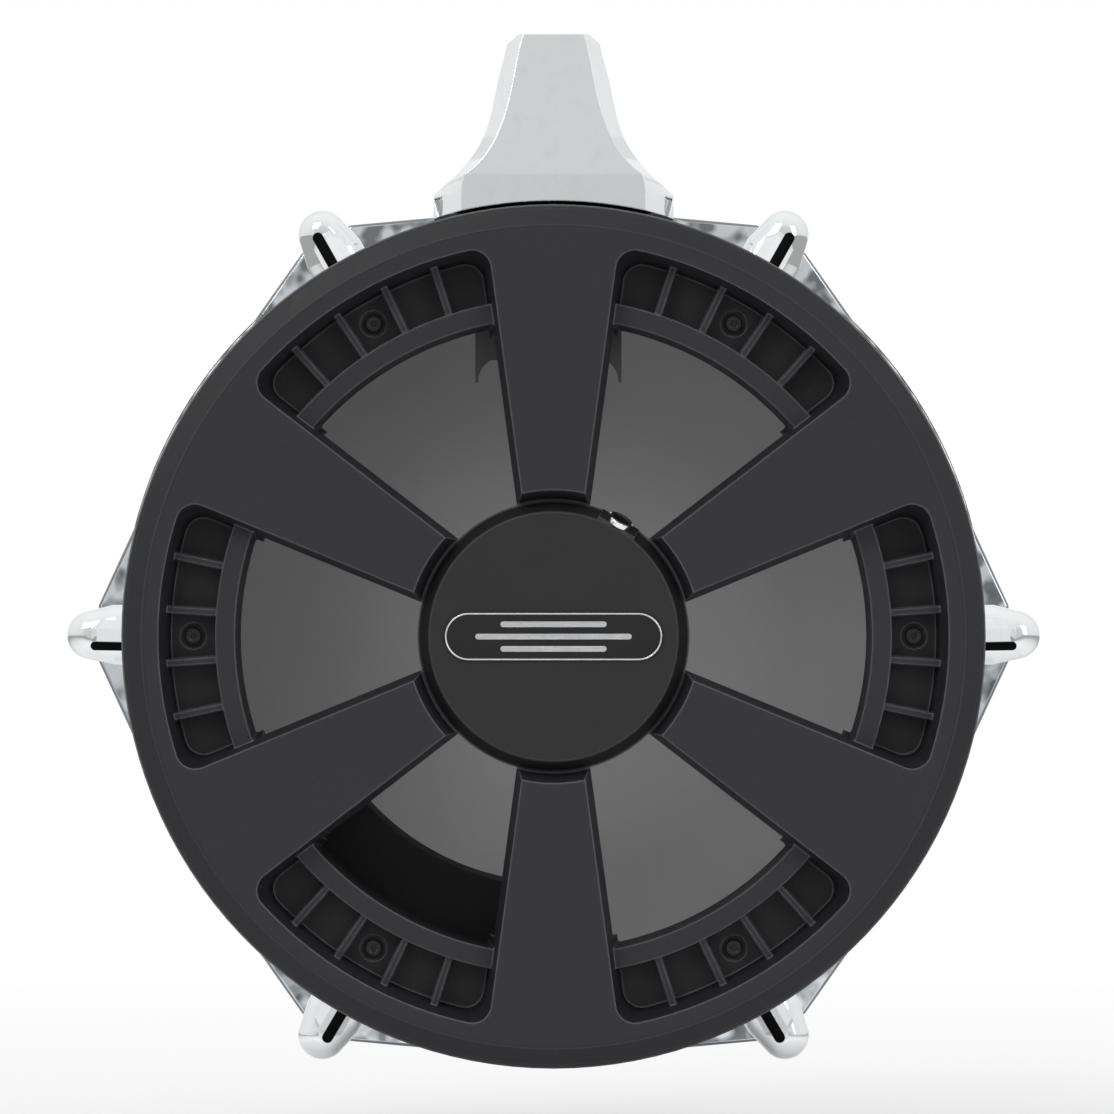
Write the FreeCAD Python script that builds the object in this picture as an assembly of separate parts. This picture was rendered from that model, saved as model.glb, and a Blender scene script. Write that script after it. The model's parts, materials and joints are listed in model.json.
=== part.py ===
import FreeCAD, Part
import math
import os

# A 12 inch electronic drum pad, in millimetres.
# The drum axis is Y: the rear frame's face is the plane y = 0, facing -Y, and the playing head is on the
# +Y side. Z is up, with the mounting bracket on top. Angles are seen from behind, from +X towards +Z.

V = FreeCAD.Vector
ORIGIN = V(0, 0, 0)
AXIS = V(0, 1, 0)
UP = V(0, 0, 1)
OVER = 1.0  # how far a cutter runs past the face that it cuts

# stations round the drum
STATIONS = [0, 60, 120, 180, 240, 300]  # windows, frame screws, lugs and tension rods
SPOKE_ANGLES = [30, 90, 150, 210, 270, 330]
HALF_STATION = 30
TOP_ANGLE = 90  # the bracket
JACK_ANGLE = 60
RIM_CABLE_ANGLE = 270
CABLE_HOLE_R = 2.4

# clearances
RUNNING_GAP = 0.05  # radial, between a thread or shaft and its hole
SCREW_GAP = 0.1  # radial, where a screw only passes through
TOUCH_GAP = 0.05  # between faces that rest on each other

# fixings
M3_R = 1.5  # hub cap and tower screws
M3_HEAD_R = 2.8
BOARD_SCREW_R = 1.25
BOARD_SCREW_HEAD_R = 2.3
COVER_SCREW_R = 1.75
COVER_SCREW_HEAD_R = 3.2
LOOSE_GAP = 0.2  # radial, for the holes in sheets that a screw passes through

# wooden shell
SHELL_R_IN = 146.4
SHELL_R_OUT = 152.4
SHELL_REAR = 12.05
BEARING_EDGE = 128.0
BEARING_R = 150.4

# rear frame: outer ring
FRAME_R = 155.0
FRAME_DEPTH = 24.0
FRAME_FLAT_R = 147.6
FRAME_BEVEL_R = 153.4
FRAME_BEVEL_DROP = 2.2
FRAME_EDGE_R = 154.5
FRAME_EDGE_DROP = 3.0
FRAME_WALL_DROP = 4.4  # where the outer wall starts
FRAME_INNER_R = 110.0
SEAT_R_IN = 143.8
SEAT_R_OUT = 153.0
SEAT_DEPTH = 12.0
SEAT_RELIEF_WIDTH = 3.0  # groove under the shell's end
WALL = 2.5

# rear frame: spokes, pockets and windows
SPOKE_DEPTH = 14.0
SPOKE_ROOT_R = 52.4
SPOKE_FACE_HALF = 11.6
SPOKE_BODY_HALF = 13.9
SPOKE_SLOPE = 0.1345  # half-width gained per mm outwards
POCKET_R = 141.5
POCKET_FLOOR = 20.0
POCKET_DRAFT = 3.5 / 20.0
POCKET_CORNER = 7.0
BAND_R_IN = 114.5
BAND_R_OUT = 121.6
BAND_DEPTH = 10.0
BAND_DRAFT = 1.5 / 14.0
WINDOW_CORNER = 1.0
CHANNEL_START = 56.0
CHANNEL_END = 140.0
RIB_ANGLES = [-12, -4, 4, 12]
RIB_WIDTH = 2.3
RIB_DEPTH = 11.4

# hub
HUB_FLANGE_R = 48.9
HUB_REST = 10.5  # the plane where the cap sits on the housing
HUB_FLANGE_END = 14.0
HUB_WALL_R = 47.8
HUB_INNER_R = 45.0
HUB_FLOOR = 37.5
HUB_END = 40.0
HUB_CABLE_R = 7.0  # hole in the floor for the sensor cable
HUB_MOUTH_R = 49.3  # the sloping mouth of the housing round the cap
HUB_MOUTH_FACE_R = 52.5
CAP_FACE = 1.0
CAP_FACE_R = 44.9
CAP_BASE_R = 48.1
CAP_CONE_END = 9.0
CAP_INNER_R = 42.4
CAP_SPIGOT_R = 44.7
CAP_SPIGOT_END = 14.0
CAP_UNDERSIDE = 3.5
POST_R = 38.0
POST_ANGLES = [0, 120, 240]
TOWER_SCREW_R = 31.0
TOWER_SCREW_ANGLES = [60, 180, 300]
POST_TOP = 16.0
CAP_SCREW_SEAT = 22.0
TOWER_BOSS_TOP = 31.0

# badge
BADGE_HALF_LENGTH = 39.3
BADGE_HALF_HEIGHT = 8.75
BADGE_FACE = 0.35
BADGE_BACK = CAP_FACE - TOUCH_GAP
STRIPE_HALF = 1.0
STRIPE_DEPTH = 0.3
BADGE_STRIPES = [(19.0, 4.4), (28.0, 0.0), (19.0, -4.4)]  # half-length and height of each stripe

# circuit board in the hub
BOARD_FRONT = 30.0  # the face towards the cap
BOARD_REAR = 31.65
BOARD_X = 24.0
BOARD_Z = (-20.0, 16.0)
BOARD_SCREWS = [(x, z) for x in (-20.0, 20.0) for z in (-16.0, 12.0)]

# output jack, on the cap's sloping side
JACK_R = 46.5
JACK_Y = 5.3
JACK_TILT = 22.0
JACK_BORE_R = 3.3
JACK_NECK_R = 4.0
JACK_FACE = 2.6  # how far the neck stands out of the cap
JACK_BORE_LENGTH = 32.6
JACK_BODY_HALF = 5.5
JACK_BODY_START = -34.0  # along the jack's axis
JACK_BODY_END = -8.6
JACK_NUT_R = 4.75
JACK_NUT_FACE = 2.4
JACK_CONTACT_SIDES = [-3.4, 0.0, 3.4]

# frame screws and the anchors that take them
FRAME_SCREW_R = 130.0
FRAME_SCREW_HEAD_R = 3.0
FRAME_SCREW_HEAD = 2.8
FRAME_SHANK_R = 2.0
FRAME_RECESS_R = 4.6
FRAME_RECESS_DEPTH = 1.6
ANCHOR_TAB = 30.0
ANCHOR_THICK = 2.8
ANCHOR_END = 68.0
ANCHOR_HALF = 9.0

# lugs
ROD_CIRCLE_R = 169.4
LUG_SEAT_R = 153.4
LUG_BARREL_R = 8.8
LUG_HALF = 11.0
LUG_SHOULDER_R = 161.0
LUG_REAR = 52.0
LUG_FRONT = 104.0
LUG_SCREW_DEPTHS = [60.0, 92.0]
LUG_SCREW_SHANK_R = 2.0
LUG_DOME = 7.6  # radius of the rounding round the lug's rear face
TONGUE_END = 30.0
TONGUE_TIP_R = 172.0  # where the tongue's slope ends, inside the lug
TONGUE_TIP_Y = 57.2
TONGUE_HALF = 5.6
TONGUE_BEVEL = 3.2
GASKET_BORDER = 0.6  # how far a gasket shows round its lug
NUT_R = 5.0
NUT_REAR = 86.0
NUT_FRONT = 100.0

# hoop, head and tension rods
ROD_R = 2.75
ROD_TIP = 74.0
ROD_FLANGE_R = 5.5
ROD_KEY_HALF = 3.15  # half of the square key's width
EAR_REAR = 112.0
EAR_FRONT = 115.0
WASHER_R = 6.2
WASHER_TOP = EAR_FRONT + 1.05
EAR_HOLE_R = 3.4
EAR_TIP_X = 170.2
EAR_TIP_Z = 10.4
EAR_ROOT_X = 155.4
EAR_ROOT_Z = 42.5
HOOP_BAND_R_IN = 158.6
HOOP_BAND_R_OUT = 160.9
HOOP_SHELF = 123.2
HOOP_SHELF_FRONT = 125.5
HOOP_RIM_R_IN = 154.9
HOOP_RIM_R_OUT = 157.2
HOOP_LIP_R = 160.2
HOOP_FRONT = 138.3
HOOP_THICK = 2.3
RUBBER_R_IN = 153.4
RUBBER_R_OUT = 162.8
RUBBER_REAR = 129.0
RUBBER_FRONT = 143.0
RUBBER_GAP = 0.2
HEAD_THICK = 0.6
HEAD_SKIRT_R = 153.0
HEAD_SKIRT_END = 118.0
FLESH_R_IN = 154.0
FLESH_R_OUT = 158.0
FLESH_REAR = 117.0
FLESH_FRONT = 123.0

# bracket on top
BRACKET_SEAT_R = 157.6
MOUNT_ROD_Y = 56.0
MOUNT_BORE_R = 5.35
ROD_PASSAGE_R = 8.0
BRACKET_TOP = 218.6
CLAMP_Z = 193.0
CLAMP_HALF_Z = 13.0
CLAMP_RELIEF_R = 5.95
JAW_HALF_X = 5.0
JAW_BACK = 66.5
CLAMP_POCKET_BACK = 68.0
WING_THREAD_R = 4.0
WING_BOSS_R = 10.0
WING_BOSS_END = 80.0
WING_HUB = 82.0
WING_HALF = 2.1  # half the thickness of a wing
BRACKET_SCREW_ANGLES = [75.5, 104.5]
BRACKET_SCREW_DEPTHS = [41.0, 75.0]
BRACKET_SCREW_R = 2.4
ROD_POCKET_MID_X = -1.9
ROD_POCKET_HALF = 26.6
ROD_POCKET_END_Z = 101.0
ROD_POCKET_REAR = 40.0
ROD_POCKET_FRONT = 72.0
BACKING_R_IN = 143.8

# rim sensor cover, inside the shell on the lower left
COVER_R_IN = 91.5
COVER_R_OUT = 145.8
COVER_REAR = 44.0
COVER_FRONT = 82.0
COVER_START = 206.0
COVER_END = 274.0
COVER_SCREW_ANGLES = [204.2, 275.8]
COVER_SCREW_DEPTH = 63.0
RIM_PIEZO_ANGLE = 222.0
RIM_PIEZO_DEPTH = 62.0
TAPE_R = 144.3  # where the tape meets the piezo

# sensor stack on the drum axis
TOWER_BASE_R = 35.0
TOWER_FOOT_TOP = 43.0
TOWER_FOOT_R = 27.0
TOWER_WAIST_R = 20.0
TOWER_TOP_R = 27.0
TOWER_HOLE_R = 8.0
TOWER_TOP = 97.0
SENSOR_RING_TOP = 101.0  # the underside of the sensor plate
SENSOR_PLATE_TOP = 102.2
SENSOR_PLATE_R = 28.0
CUSHION_R_IN = 14.5
CUSHION_R_OUT = 26.0
PIEZO_R = 13.5
CERAMIC_R = 10.0
FOAM_BASE_R = 22.0
FOAM_TIP_R = 7.5
FOAM_TIP = 127.8


# ---------------------------------------------------------------- helpers


def polar(r, deg, y=0.0):
    """The point at radius r and angle deg round the drum axis, at depth y."""
    turn = math.radians(deg)
    return V(r * math.cos(turn), y, r * math.sin(turn))


def turned(shape, deg):
    """A copy of a shape made at angle 0, moved round the drum axis to angle deg."""
    moved = shape.copy()
    moved.rotate(ORIGIN, AXIS, -deg)
    return moved


def at_stations(shape, angles=STATIONS):
    return [turned(shape, deg) for deg in angles]


def fused(shapes):
    """One solid from overlapping shapes, with faces on one surface joined."""
    first, rest = shapes[0], shapes[1:]
    return first.fuse(rest).removeSplitter() if rest else first


def spun(points):
    """The solid made by turning a closed (radius, y) outline round the drum axis."""
    corners = [V(r, y, 0) for r, y in points]
    wire = Part.makePolygon(corners + corners[:1])
    return Part.Face(wire).revolve(ORIGIN, AXIS, 360)


def disc(r, y0, y1):
    return Part.makeCylinder(r, y1 - y0, V(0, y0, 0), AXIS)


def ring(r_in, r_out, y0, y1):
    return spun([(r_in, y0), (r_out, y0), (r_out, y1), (r_in, y1)])


def box(x0, x1, y0, y1, z0, z1):
    return Part.makeBox(x1 - x0, y1 - y0, z1 - z0, V(x0, y0, z0))


def bar(r, start, end):
    """A round bar of radius r between two points."""
    along = end - start
    return Part.makeCylinder(r, along.Length, start, along)


def sector(r_in, r_out, y0, y1, start, end):
    """Part of a ring, from angle start to angle end."""
    corners = [V(r_in, y0, 0), V(r_out, y0, 0), V(r_out, y1, 0), V(r_in, y1, 0)]
    face = Part.Face(Part.makePolygon(corners + corners[:1]))
    return turned(face.revolve(ORIGIN, AXIS, start - end), start)


def prism(points, y0, y1):
    """A closed (x, z) outline extruded along the drum axis."""
    corners = [V(x, y0, z) for x, z in points]
    wire = Part.makePolygon(corners + corners[:1])
    return Part.Face(wire).extrude(V(0, y1 - y0, 0))


def rounded(shape, radius, wanted):
    """The shape with a fillet on each edge for which wanted(edge) holds."""
    edges = [e for e in shape.Edges if wanted(e)]
    return shape.makeFillet(radius, edges)


def bevelled(shape, size, wanted):
    edges = [e for e in shape.Edges if wanted(e)]
    return shape.makeChamfer(size, edges)


def edge_at_y(y):
    """A test for edges that lie in the plane at depth y."""
    return lambda e: all(abs(v.Y - y) < 1e-6 for v in e.Vertexes) and abs(e.CenterOfMass.y - y) < 1e-6


def cable(points, r):
    """A round cable of radius r along a smooth curve through the points."""
    curve = Part.BSplineCurve()
    curve.interpolate(points)
    path = Part.Wire(curve.toShape())
    section = Part.Wire(Part.makeCircle(r, points[0], curve.tangent(curve.FirstParameter)[0]))
    return path.makePipeShell([section], True, True)


def hexagon_socket(across, top, depth, y_way=1):
    """A hexagonal prism for the socket of a screw whose axis is the drum axis."""
    r = across / math.sqrt(3)
    corners = [(r * math.cos(math.radians(a)), r * math.sin(math.radians(a))) for a in range(0, 360, 60)]
    return prism(corners, top, top + depth * y_way)


# ---------------------------------------------------------------- rear frame


def wedge(y0, y1):
    """The space between two spokes, centred on angle 0, as a drafted wedge with flat sides."""
    rear, front = [], []
    for y, corners in ((y0, rear), (y1, front)):
        half = SPOKE_FACE_HALF + (SPOKE_BODY_HALF - SPOKE_FACE_HALF) * y / SPOKE_DEPTH
        at_axis = half - SPOKE_SLOPE * SPOKE_ROOT_R
        cos, sin = math.cos(math.radians(HALF_STATION)), math.sin(math.radians(HALF_STATION))
        near = cos * at_axis / (sin - cos * SPOKE_SLOPE)
        for r in (near, 200.0):
            side = at_axis + SPOKE_SLOPE * r
            corners.append((r * cos + side * sin, y, r * sin - side * cos))
    return solid_between(mirrored_outline(rear), mirrored_outline(front))


def mirrored_outline(points):
    """A triangle from its point on the axis of symmetry and one far corner."""
    tip, far = points
    return [V(tip[0], tip[1], 0), V(*far), V(far[0], far[1], -far[2])]


def solid_between(rear, front):
    """The flat-sided solid between two outlines with the same number of corners."""
    faces = [Part.Face(Part.makePolygon(corners + corners[:1])) for corners in (rear, front)]
    for i in range(len(rear)):
        k = (i + 1) % len(rear)
        side = [rear[i], rear[k], front[k], front[i]]
        faces.append(Part.Face(Part.makePolygon(side + side[:1])))
    solid = Part.makeSolid(Part.makeShell(faces))
    if solid.Volume < 0:
        solid.reverse()
    return solid


def opening(outline, corner):
    """A cutter between two spokes from its (radius, y) outline, with its two outer corners rounded."""
    depths = [y for _, y in outline]
    y0, y1 = min(depths), max(depths)
    shape = wedge(y0, y1).common(spun(outline))
    return rounded(shape, corner, lambda e: is_outer_corner(e, y0, y1, outline[1][0]))


def is_outer_corner(edge, y0, y1, r):
    """True for a straight edge that runs the full depth of the cutter at its outer radius."""
    ends = sorted(v.Y for v in edge.Vertexes)
    full = len(ends) == 2 and abs(ends[0] - y0) < 1e-3 and abs(ends[1] - y1) < 1e-3
    middle = edge.CenterOfMass
    return full and math.hypot(middle.x, middle.z) > 0.9 * r


def pocket_r(y):
    return POCKET_R - POCKET_DRAFT * y


def window_r(y):
    return BAND_R_IN - BAND_DRAFT * (y - BAND_DEPTH)


def spoke_channel():
    """The hollow behind the spoke at angle 0, open towards the head."""
    start, end = CHANNEL_START, CHANNEL_END
    outlines = []
    for y in (WALL, FRAME_DEPTH + OVER):
        half = SPOKE_FACE_HALF + (SPOKE_BODY_HALF - SPOKE_FACE_HALF) * y / SPOKE_DEPTH - WALL
        near = half + SPOKE_SLOPE * (start - SPOKE_ROOT_R)
        far = half + SPOKE_SLOPE * (end - SPOKE_ROOT_R)
        outlines.append([V(start, y, -near), V(end, y, -far), V(end, y, far), V(start, y, near)])
    return solid_between(*outlines)


def frame_blank():
    """The frame before it is cut: outer ring, seat for the shell, pocket floor, band, web and hub housing."""
    seat_mid = (SHELL_R_IN + SHELL_R_OUT) / 2
    relief = SEAT_RELIEF_WIDTH / 2
    relief_floor = FRAME_WALL_DROP + WALL
    floor_back = POCKET_FLOOR + WALL
    band_back = BAND_DEPTH + WALL
    pocket_wall = pocket_r(POCKET_FLOOR)
    return spun([
        (HUB_INNER_R, HUB_REST),
        (HUB_MOUTH_R, HUB_REST),
        (HUB_MOUTH_FACE_R, 0),
        (FRAME_FLAT_R, 0),
        (FRAME_BEVEL_R, FRAME_BEVEL_DROP),
        (FRAME_EDGE_R, FRAME_EDGE_DROP),
        (FRAME_R, FRAME_WALL_DROP),
        (FRAME_R, FRAME_DEPTH),
        (SEAT_R_OUT, FRAME_DEPTH),
        (SEAT_R_OUT, SEAT_DEPTH),
        (seat_mid + relief, SEAT_DEPTH),
        (seat_mid + relief, relief_floor),
        (seat_mid - relief, relief_floor),
        (seat_mid - relief, SEAT_DEPTH),
        (SEAT_R_IN, SEAT_DEPTH),
        (SEAT_R_IN, FRAME_DEPTH),
        (pocket_wall - 1.0, FRAME_DEPTH),
        (pocket_wall - 1.0, floor_back),
        (BAND_R_OUT + 1.5, floor_back),
        (BAND_R_OUT + 1.5, FRAME_DEPTH),
        (BAND_R_OUT - WALL + 0.5, FRAME_DEPTH),
        (BAND_R_OUT - WALL + 0.5, band_back),
        (BAND_R_IN + WALL - 0.5, band_back),
        (BAND_R_IN + WALL - 0.5, FRAME_DEPTH),
        (FRAME_INNER_R, FRAME_DEPTH),
        (FRAME_INNER_R, SPOKE_DEPTH),
        (HUB_FLANGE_R, SPOKE_DEPTH),
        (HUB_WALL_R, SPOKE_DEPTH + 0.6),
        (HUB_WALL_R, HUB_END),
        (HUB_CABLE_R, HUB_END),
        (HUB_CABLE_R, HUB_FLOOR),
        (HUB_INNER_R, HUB_FLOOR),
    ])


def cut_openings(shape):
    """Cut the windows and pockets, one depth at a time."""
    pocket = opening([
        (HUB_FLANGE_R, -OVER),
        (pocket_r(-OVER), -OVER),
        (pocket_r(POCKET_FLOOR), POCKET_FLOOR),
        (BAND_R_OUT, POCKET_FLOOR),
        (BAND_R_OUT, BAND_DEPTH),
        (HUB_FLANGE_R, BAND_DEPTH),
    ], POCKET_CORNER)
    window = opening([
        (HUB_FLANGE_R, BAND_DEPTH),
        (BAND_R_IN, BAND_DEPTH),
        (window_r(FRAME_DEPTH + OVER), FRAME_DEPTH + OVER),
        (HUB_FLANGE_R, FRAME_DEPTH + OVER),
    ], WINDOW_CORNER)
    for cutter in (pocket, window):
        shape = shape.cut(at_stations(cutter))
    return shape


def hub_posts():
    """Pillars in the hub housing for the cap screws, the sensor tower and the circuit board."""
    posts = [bar(4.5, polar(POST_R, a, POST_TOP), polar(POST_R, a, HUB_FLOOR + 1)) for a in POST_ANGLES]
    bosses = [
        bar(4.0, polar(TOWER_SCREW_R, a, TOWER_BOSS_TOP), polar(TOWER_SCREW_R, a, HUB_FLOOR + 1))
        for a in TOWER_SCREW_ANGLES
    ]
    standoffs = [bar(3.0, V(x, BOARD_REAR, z), V(x, HUB_FLOOR + 1, z)) for x, z in BOARD_SCREWS]
    return posts + bosses + standoffs


def hub_holes():
    """Screw holes in the pillars, the rim cable's hole in the wall, and the notch below the output jack."""
    holes = []
    for a in POST_ANGLES:
        holes.append(bar(M3_R + SCREW_GAP, polar(POST_R, a, 10.0), polar(POST_R, a, HUB_END + OVER)))
        holes.append(bar(M3_HEAD_R + 0.5, polar(POST_R, a, CAP_SCREW_SEAT), polar(POST_R, a, HUB_END + OVER)))
    for a in TOWER_SCREW_ANGLES:
        start, end = polar(TOWER_SCREW_R, a, TOWER_BOSS_TOP + 1.5), polar(TOWER_SCREW_R, a, HUB_END + OVER)
        holes.append(bar(M3_R + RUNNING_GAP, start, end))
    for x, z in BOARD_SCREWS:
        holes.append(bar(BOARD_SCREW_R + RUNNING_GAP, V(x, BOARD_FRONT, z), V(x, HUB_FLOOR - 0.5, z)))
    start, end = polar(HUB_INNER_R - 5.0, RIM_CABLE_ANGLE, 22.0), polar(HUB_WALL_R + 4.2, RIM_CABLE_ANGLE, 22.0)
    holes.append(bar(CABLE_HOLE_R, start, end))
    notch = box(HUB_WALL_R + 0.1, 54, HUB_REST - OVER, HUB_FLANGE_END + OVER, -7.2, 7.2)
    holes.append(turned(notch, JACK_ANGLE))
    return holes


def pocket_ribs():
    rib = box(BAND_R_OUT - 0.6, POCKET_R - 0.8, RIB_DEPTH, POCKET_FLOOR + 0.5, -RIB_WIDTH / 2, RIB_WIDTH / 2)
    return [turned(rib, station + a) for station in STATIONS for a in RIB_ANGLES]


def rear_frame():
    """One moulding: outer ring, six spokes, six ribbed pockets and the hub housing."""
    shape = cut_openings(frame_blank())
    shape = shape.cut(at_stations(spoke_channel(), SPOKE_ANGLES))
    boss = bar(FRAME_RECESS_R + 1.2, V(FRAME_SCREW_R, POCKET_FLOOR + 1, 0),
               V(FRAME_SCREW_R, ANCHOR_TAB - TOUCH_GAP, 0))
    shape = fused([shape] + hub_posts() + pocket_ribs() + at_stations(boss))
    recess = bar(FRAME_RECESS_R, V(FRAME_SCREW_R, POCKET_FLOOR - OVER, 0),
                 V(FRAME_SCREW_R, POCKET_FLOOR + FRAME_RECESS_DEPTH, 0))
    hole = bar(FRAME_SHANK_R + SCREW_GAP, V(FRAME_SCREW_R, POCKET_FLOOR, 0),
               V(FRAME_SCREW_R, ANCHOR_TAB + OVER, 0))
    return shape.cut(at_stations(recess) + at_stations(hole) + hub_holes())


# ---------------------------------------------------------------- hub cap, badge and jack


def jack_point(u, side=0.0, lift=0.0):
    """A point in the jack's own directions: u along its axis, side round the drum, lift to the rear."""
    tilt = math.radians(JACK_TILT)
    r = JACK_R + u * math.cos(tilt) - lift * math.sin(tilt)
    y = JACK_Y - u * math.sin(tilt) - lift * math.cos(tilt)
    return V(r, y, side)


def jack_block(u0, u1, half_side, lift0, lift1):
    """A block square to the jack's axis, at angle 0."""
    outline = [(u0, lift0), (u1, lift0), (u1, lift1), (u0, lift1)]
    corners = [jack_point(u, -half_side, lift) for u, lift in outline]
    face = Part.Face(Part.makePolygon(corners + corners[:1]))
    return face.extrude(V(0, 0, 2 * half_side))


def jack_bar(r, u0, u1):
    return bar(r, jack_point(u0), jack_point(u1))


def hub_cap():
    """A lid with a sloping side, a flat land for the output jack and three screw bosses."""
    lid = spun([
        (0, CAP_FACE),
        (CAP_FACE_R - 0.5, CAP_FACE),
        (CAP_FACE_R, CAP_FACE + 0.35),
        (CAP_BASE_R, CAP_CONE_END),
        (CAP_BASE_R, HUB_REST - TOUCH_GAP),
        (CAP_SPIGOT_R, HUB_REST - TOUCH_GAP),
        (CAP_SPIGOT_R, CAP_SPIGOT_END),
        (CAP_INNER_R, CAP_SPIGOT_END),
        (CAP_INNER_R, CAP_UNDERSIDE),
        (0, CAP_UNDERSIDE),
    ])
    land = jack_block(-5.0, 0.4, 7.5, -4.6, 4.2)
    land = land.common(box(38, 54, CAP_FACE + 0.5, HUB_REST - TOUCH_GAP, -8, 8))
    bosses = [
        bar(4.0, polar(POST_R, a, CAP_UNDERSIDE - 0.5), polar(POST_R, a, POST_TOP - 0.1))
        for a in POST_ANGLES
    ]
    shape = fused([lid, turned(land, JACK_ANGLE)] + bosses)
    holes = [bar(M3_R + RUNNING_GAP, polar(POST_R, a, 5.0), polar(POST_R, a, POST_TOP + OVER))
             for a in POST_ANGLES]
    neck_hole = jack_bar(JACK_NECK_R + SCREW_GAP, -8.0, 3.0)
    body_room = jack_block(-36.0, -2.6, 5.8, -4.8, 4.8).common(box(0, 60, CAP_UNDERSIDE, 30, -6, 6))
    return shape.cut(holes + [turned(neck_hole, JACK_ANGLE), turned(body_room, JACK_ANGLE)])


def stadium(half_length, half_height, y0, y1):
    """A plate with round ends, long in X."""
    flat = half_length - half_height
    middle = box(-flat, flat, y0, y1, -half_height, half_height)
    ends = [Part.makeCylinder(half_height, y1 - y0, V(x, y0, 0), AXIS) for x in (-flat, flat)]
    return fused([middle] + ends)


def hub_badge():
    """A plain plate with three grooves for the inlay."""
    plate = stadium(BADGE_HALF_LENGTH, BADGE_HALF_HEIGHT, BADGE_FACE, BADGE_BACK)
    grooves = [stadium(half + SCREW_GAP, STRIPE_HALF + SCREW_GAP, BADGE_FACE - OVER, BADGE_FACE + STRIPE_DEPTH)
               for half, _ in BADGE_STRIPES]
    return plate.cut([groove.translated(V(0, 0, z)) for groove, (_, z) in zip(grooves, BADGE_STRIPES)])


def badge_inlay():
    """Three bright stripes that stand just proud of the badge."""
    back = BADGE_FACE + STRIPE_DEPTH - 0.02
    stripes = [stadium(half, STRIPE_HALF, BADGE_FACE - 0.15, back) for half, _ in BADGE_STRIPES]
    return Part.makeCompound([stripe.translated(V(0, 0, z)) for stripe, (_, z) in zip(stripes, BADGE_STRIPES)])


def hub_cap_screws():
    screws = []
    for a in POST_ANGLES:
        top = CAP_SCREW_SEAT + 2.2
        shank = bar(M3_R, polar(POST_R, a, 6.0), polar(POST_R, a, CAP_SCREW_SEAT + 1.0))
        head = bar(M3_HEAD_R, polar(POST_R, a, CAP_SCREW_SEAT + TOUCH_GAP), polar(POST_R, a, top))
        socket = hexagon_socket(2.5, top, -1.2).translated(polar(POST_R, a))
        screws.append(fused([shank, head]).cut(socket))
    return Part.makeCompound(screws)


def output_jack():
    neck = jack_bar(JACK_NECK_R, JACK_BODY_END - 0.4, JACK_FACE)
    body = jack_block(JACK_BODY_START, JACK_BODY_END, JACK_BODY_HALF, -4.5, 4.5)
    bore = jack_bar(JACK_BORE_R, JACK_FACE - JACK_BORE_LENGTH, JACK_FACE + OVER)
    lead_in = Part.makeCone(JACK_BORE_R, JACK_BORE_R + 0.5, 0.5, jack_point(JACK_FACE - 0.5),
                            jack_point(1) - jack_point(0))
    return turned(fused([neck, body]).cut([bore, lead_in]), JACK_ANGLE)


def jack_nut():
    """A round nut with two slots for a pin spanner."""
    rim = 2 * math.pi * JACK_NUT_R
    nut = jack_bar(JACK_NUT_R, 0.45, JACK_NUT_FACE).cut(jack_bar(JACK_NECK_R + RUNNING_GAP, 0, 3))
    nut = bevelled(nut, 0.3, lambda e: abs(e.Length - rim) < 0.01 and e.CenterOfMass.x > JACK_R + 1.0)
    slot = jack_block(JACK_NUT_FACE - 0.7, 3.0, JACK_NUT_R + OVER, -0.6, 0.6)
    return turned(nut.cut(slot), JACK_ANGLE)


def jack_contacts():
    """Three leaf springs along the jack body, each with a solder tail."""
    leaves = []
    for side in JACK_CONTACT_SIDES:
        leaf = jack_block(JACK_BODY_START + 1.0, -12.0, 1.2, -4.95, -4.55)
        tail = jack_block(JACK_BODY_START - 3.0, JACK_BODY_START + 2.0, 0.6, -4.95, -4.55)
        leaves.append(turned(fused([leaf, tail]).translated(V(0, 0, side)), JACK_ANGLE))
    return Part.makeCompound(leaves)


# ---------------------------------------------------------------- electronics and sensors


def trigger_board():
    board = box(-BOARD_X, BOARD_X, BOARD_FRONT, BOARD_REAR - TOUCH_GAP, *BOARD_Z)
    return board.cut([
        bar(BOARD_SCREW_R + 0.15, V(x, BOARD_FRONT - OVER, z), V(x, BOARD_REAR + OVER, z))
        for x, z in BOARD_SCREWS
    ])


def board_connectors():
    """One header for each sensor: the rim's towards the cap, the centre's towards the head."""
    rim = box(-4, 4, 24.5, BOARD_FRONT - TOUCH_GAP, -18.5, -13.5)
    centre = box(-3, 5, BOARD_REAR, BOARD_REAR + 4.6, -3, 3)
    return Part.makeCompound([rim, centre])


def board_screws():
    screws = []
    for x, z in BOARD_SCREWS:
        top = BOARD_FRONT - 1.8
        shank = bar(BOARD_SCREW_R, V(x, BOARD_FRONT - 1.0, z), V(x, HUB_FLOOR - 1.0, z))
        head = bar(BOARD_SCREW_HEAD_R, V(x, top, z), V(x, BOARD_FRONT - TOUCH_GAP, z))
        screws.append(fused([shank, head]).cut(hexagon_socket(2.0, top, 0.9).translated(V(x, 0, z))))
    return Part.makeCompound(screws)


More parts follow.
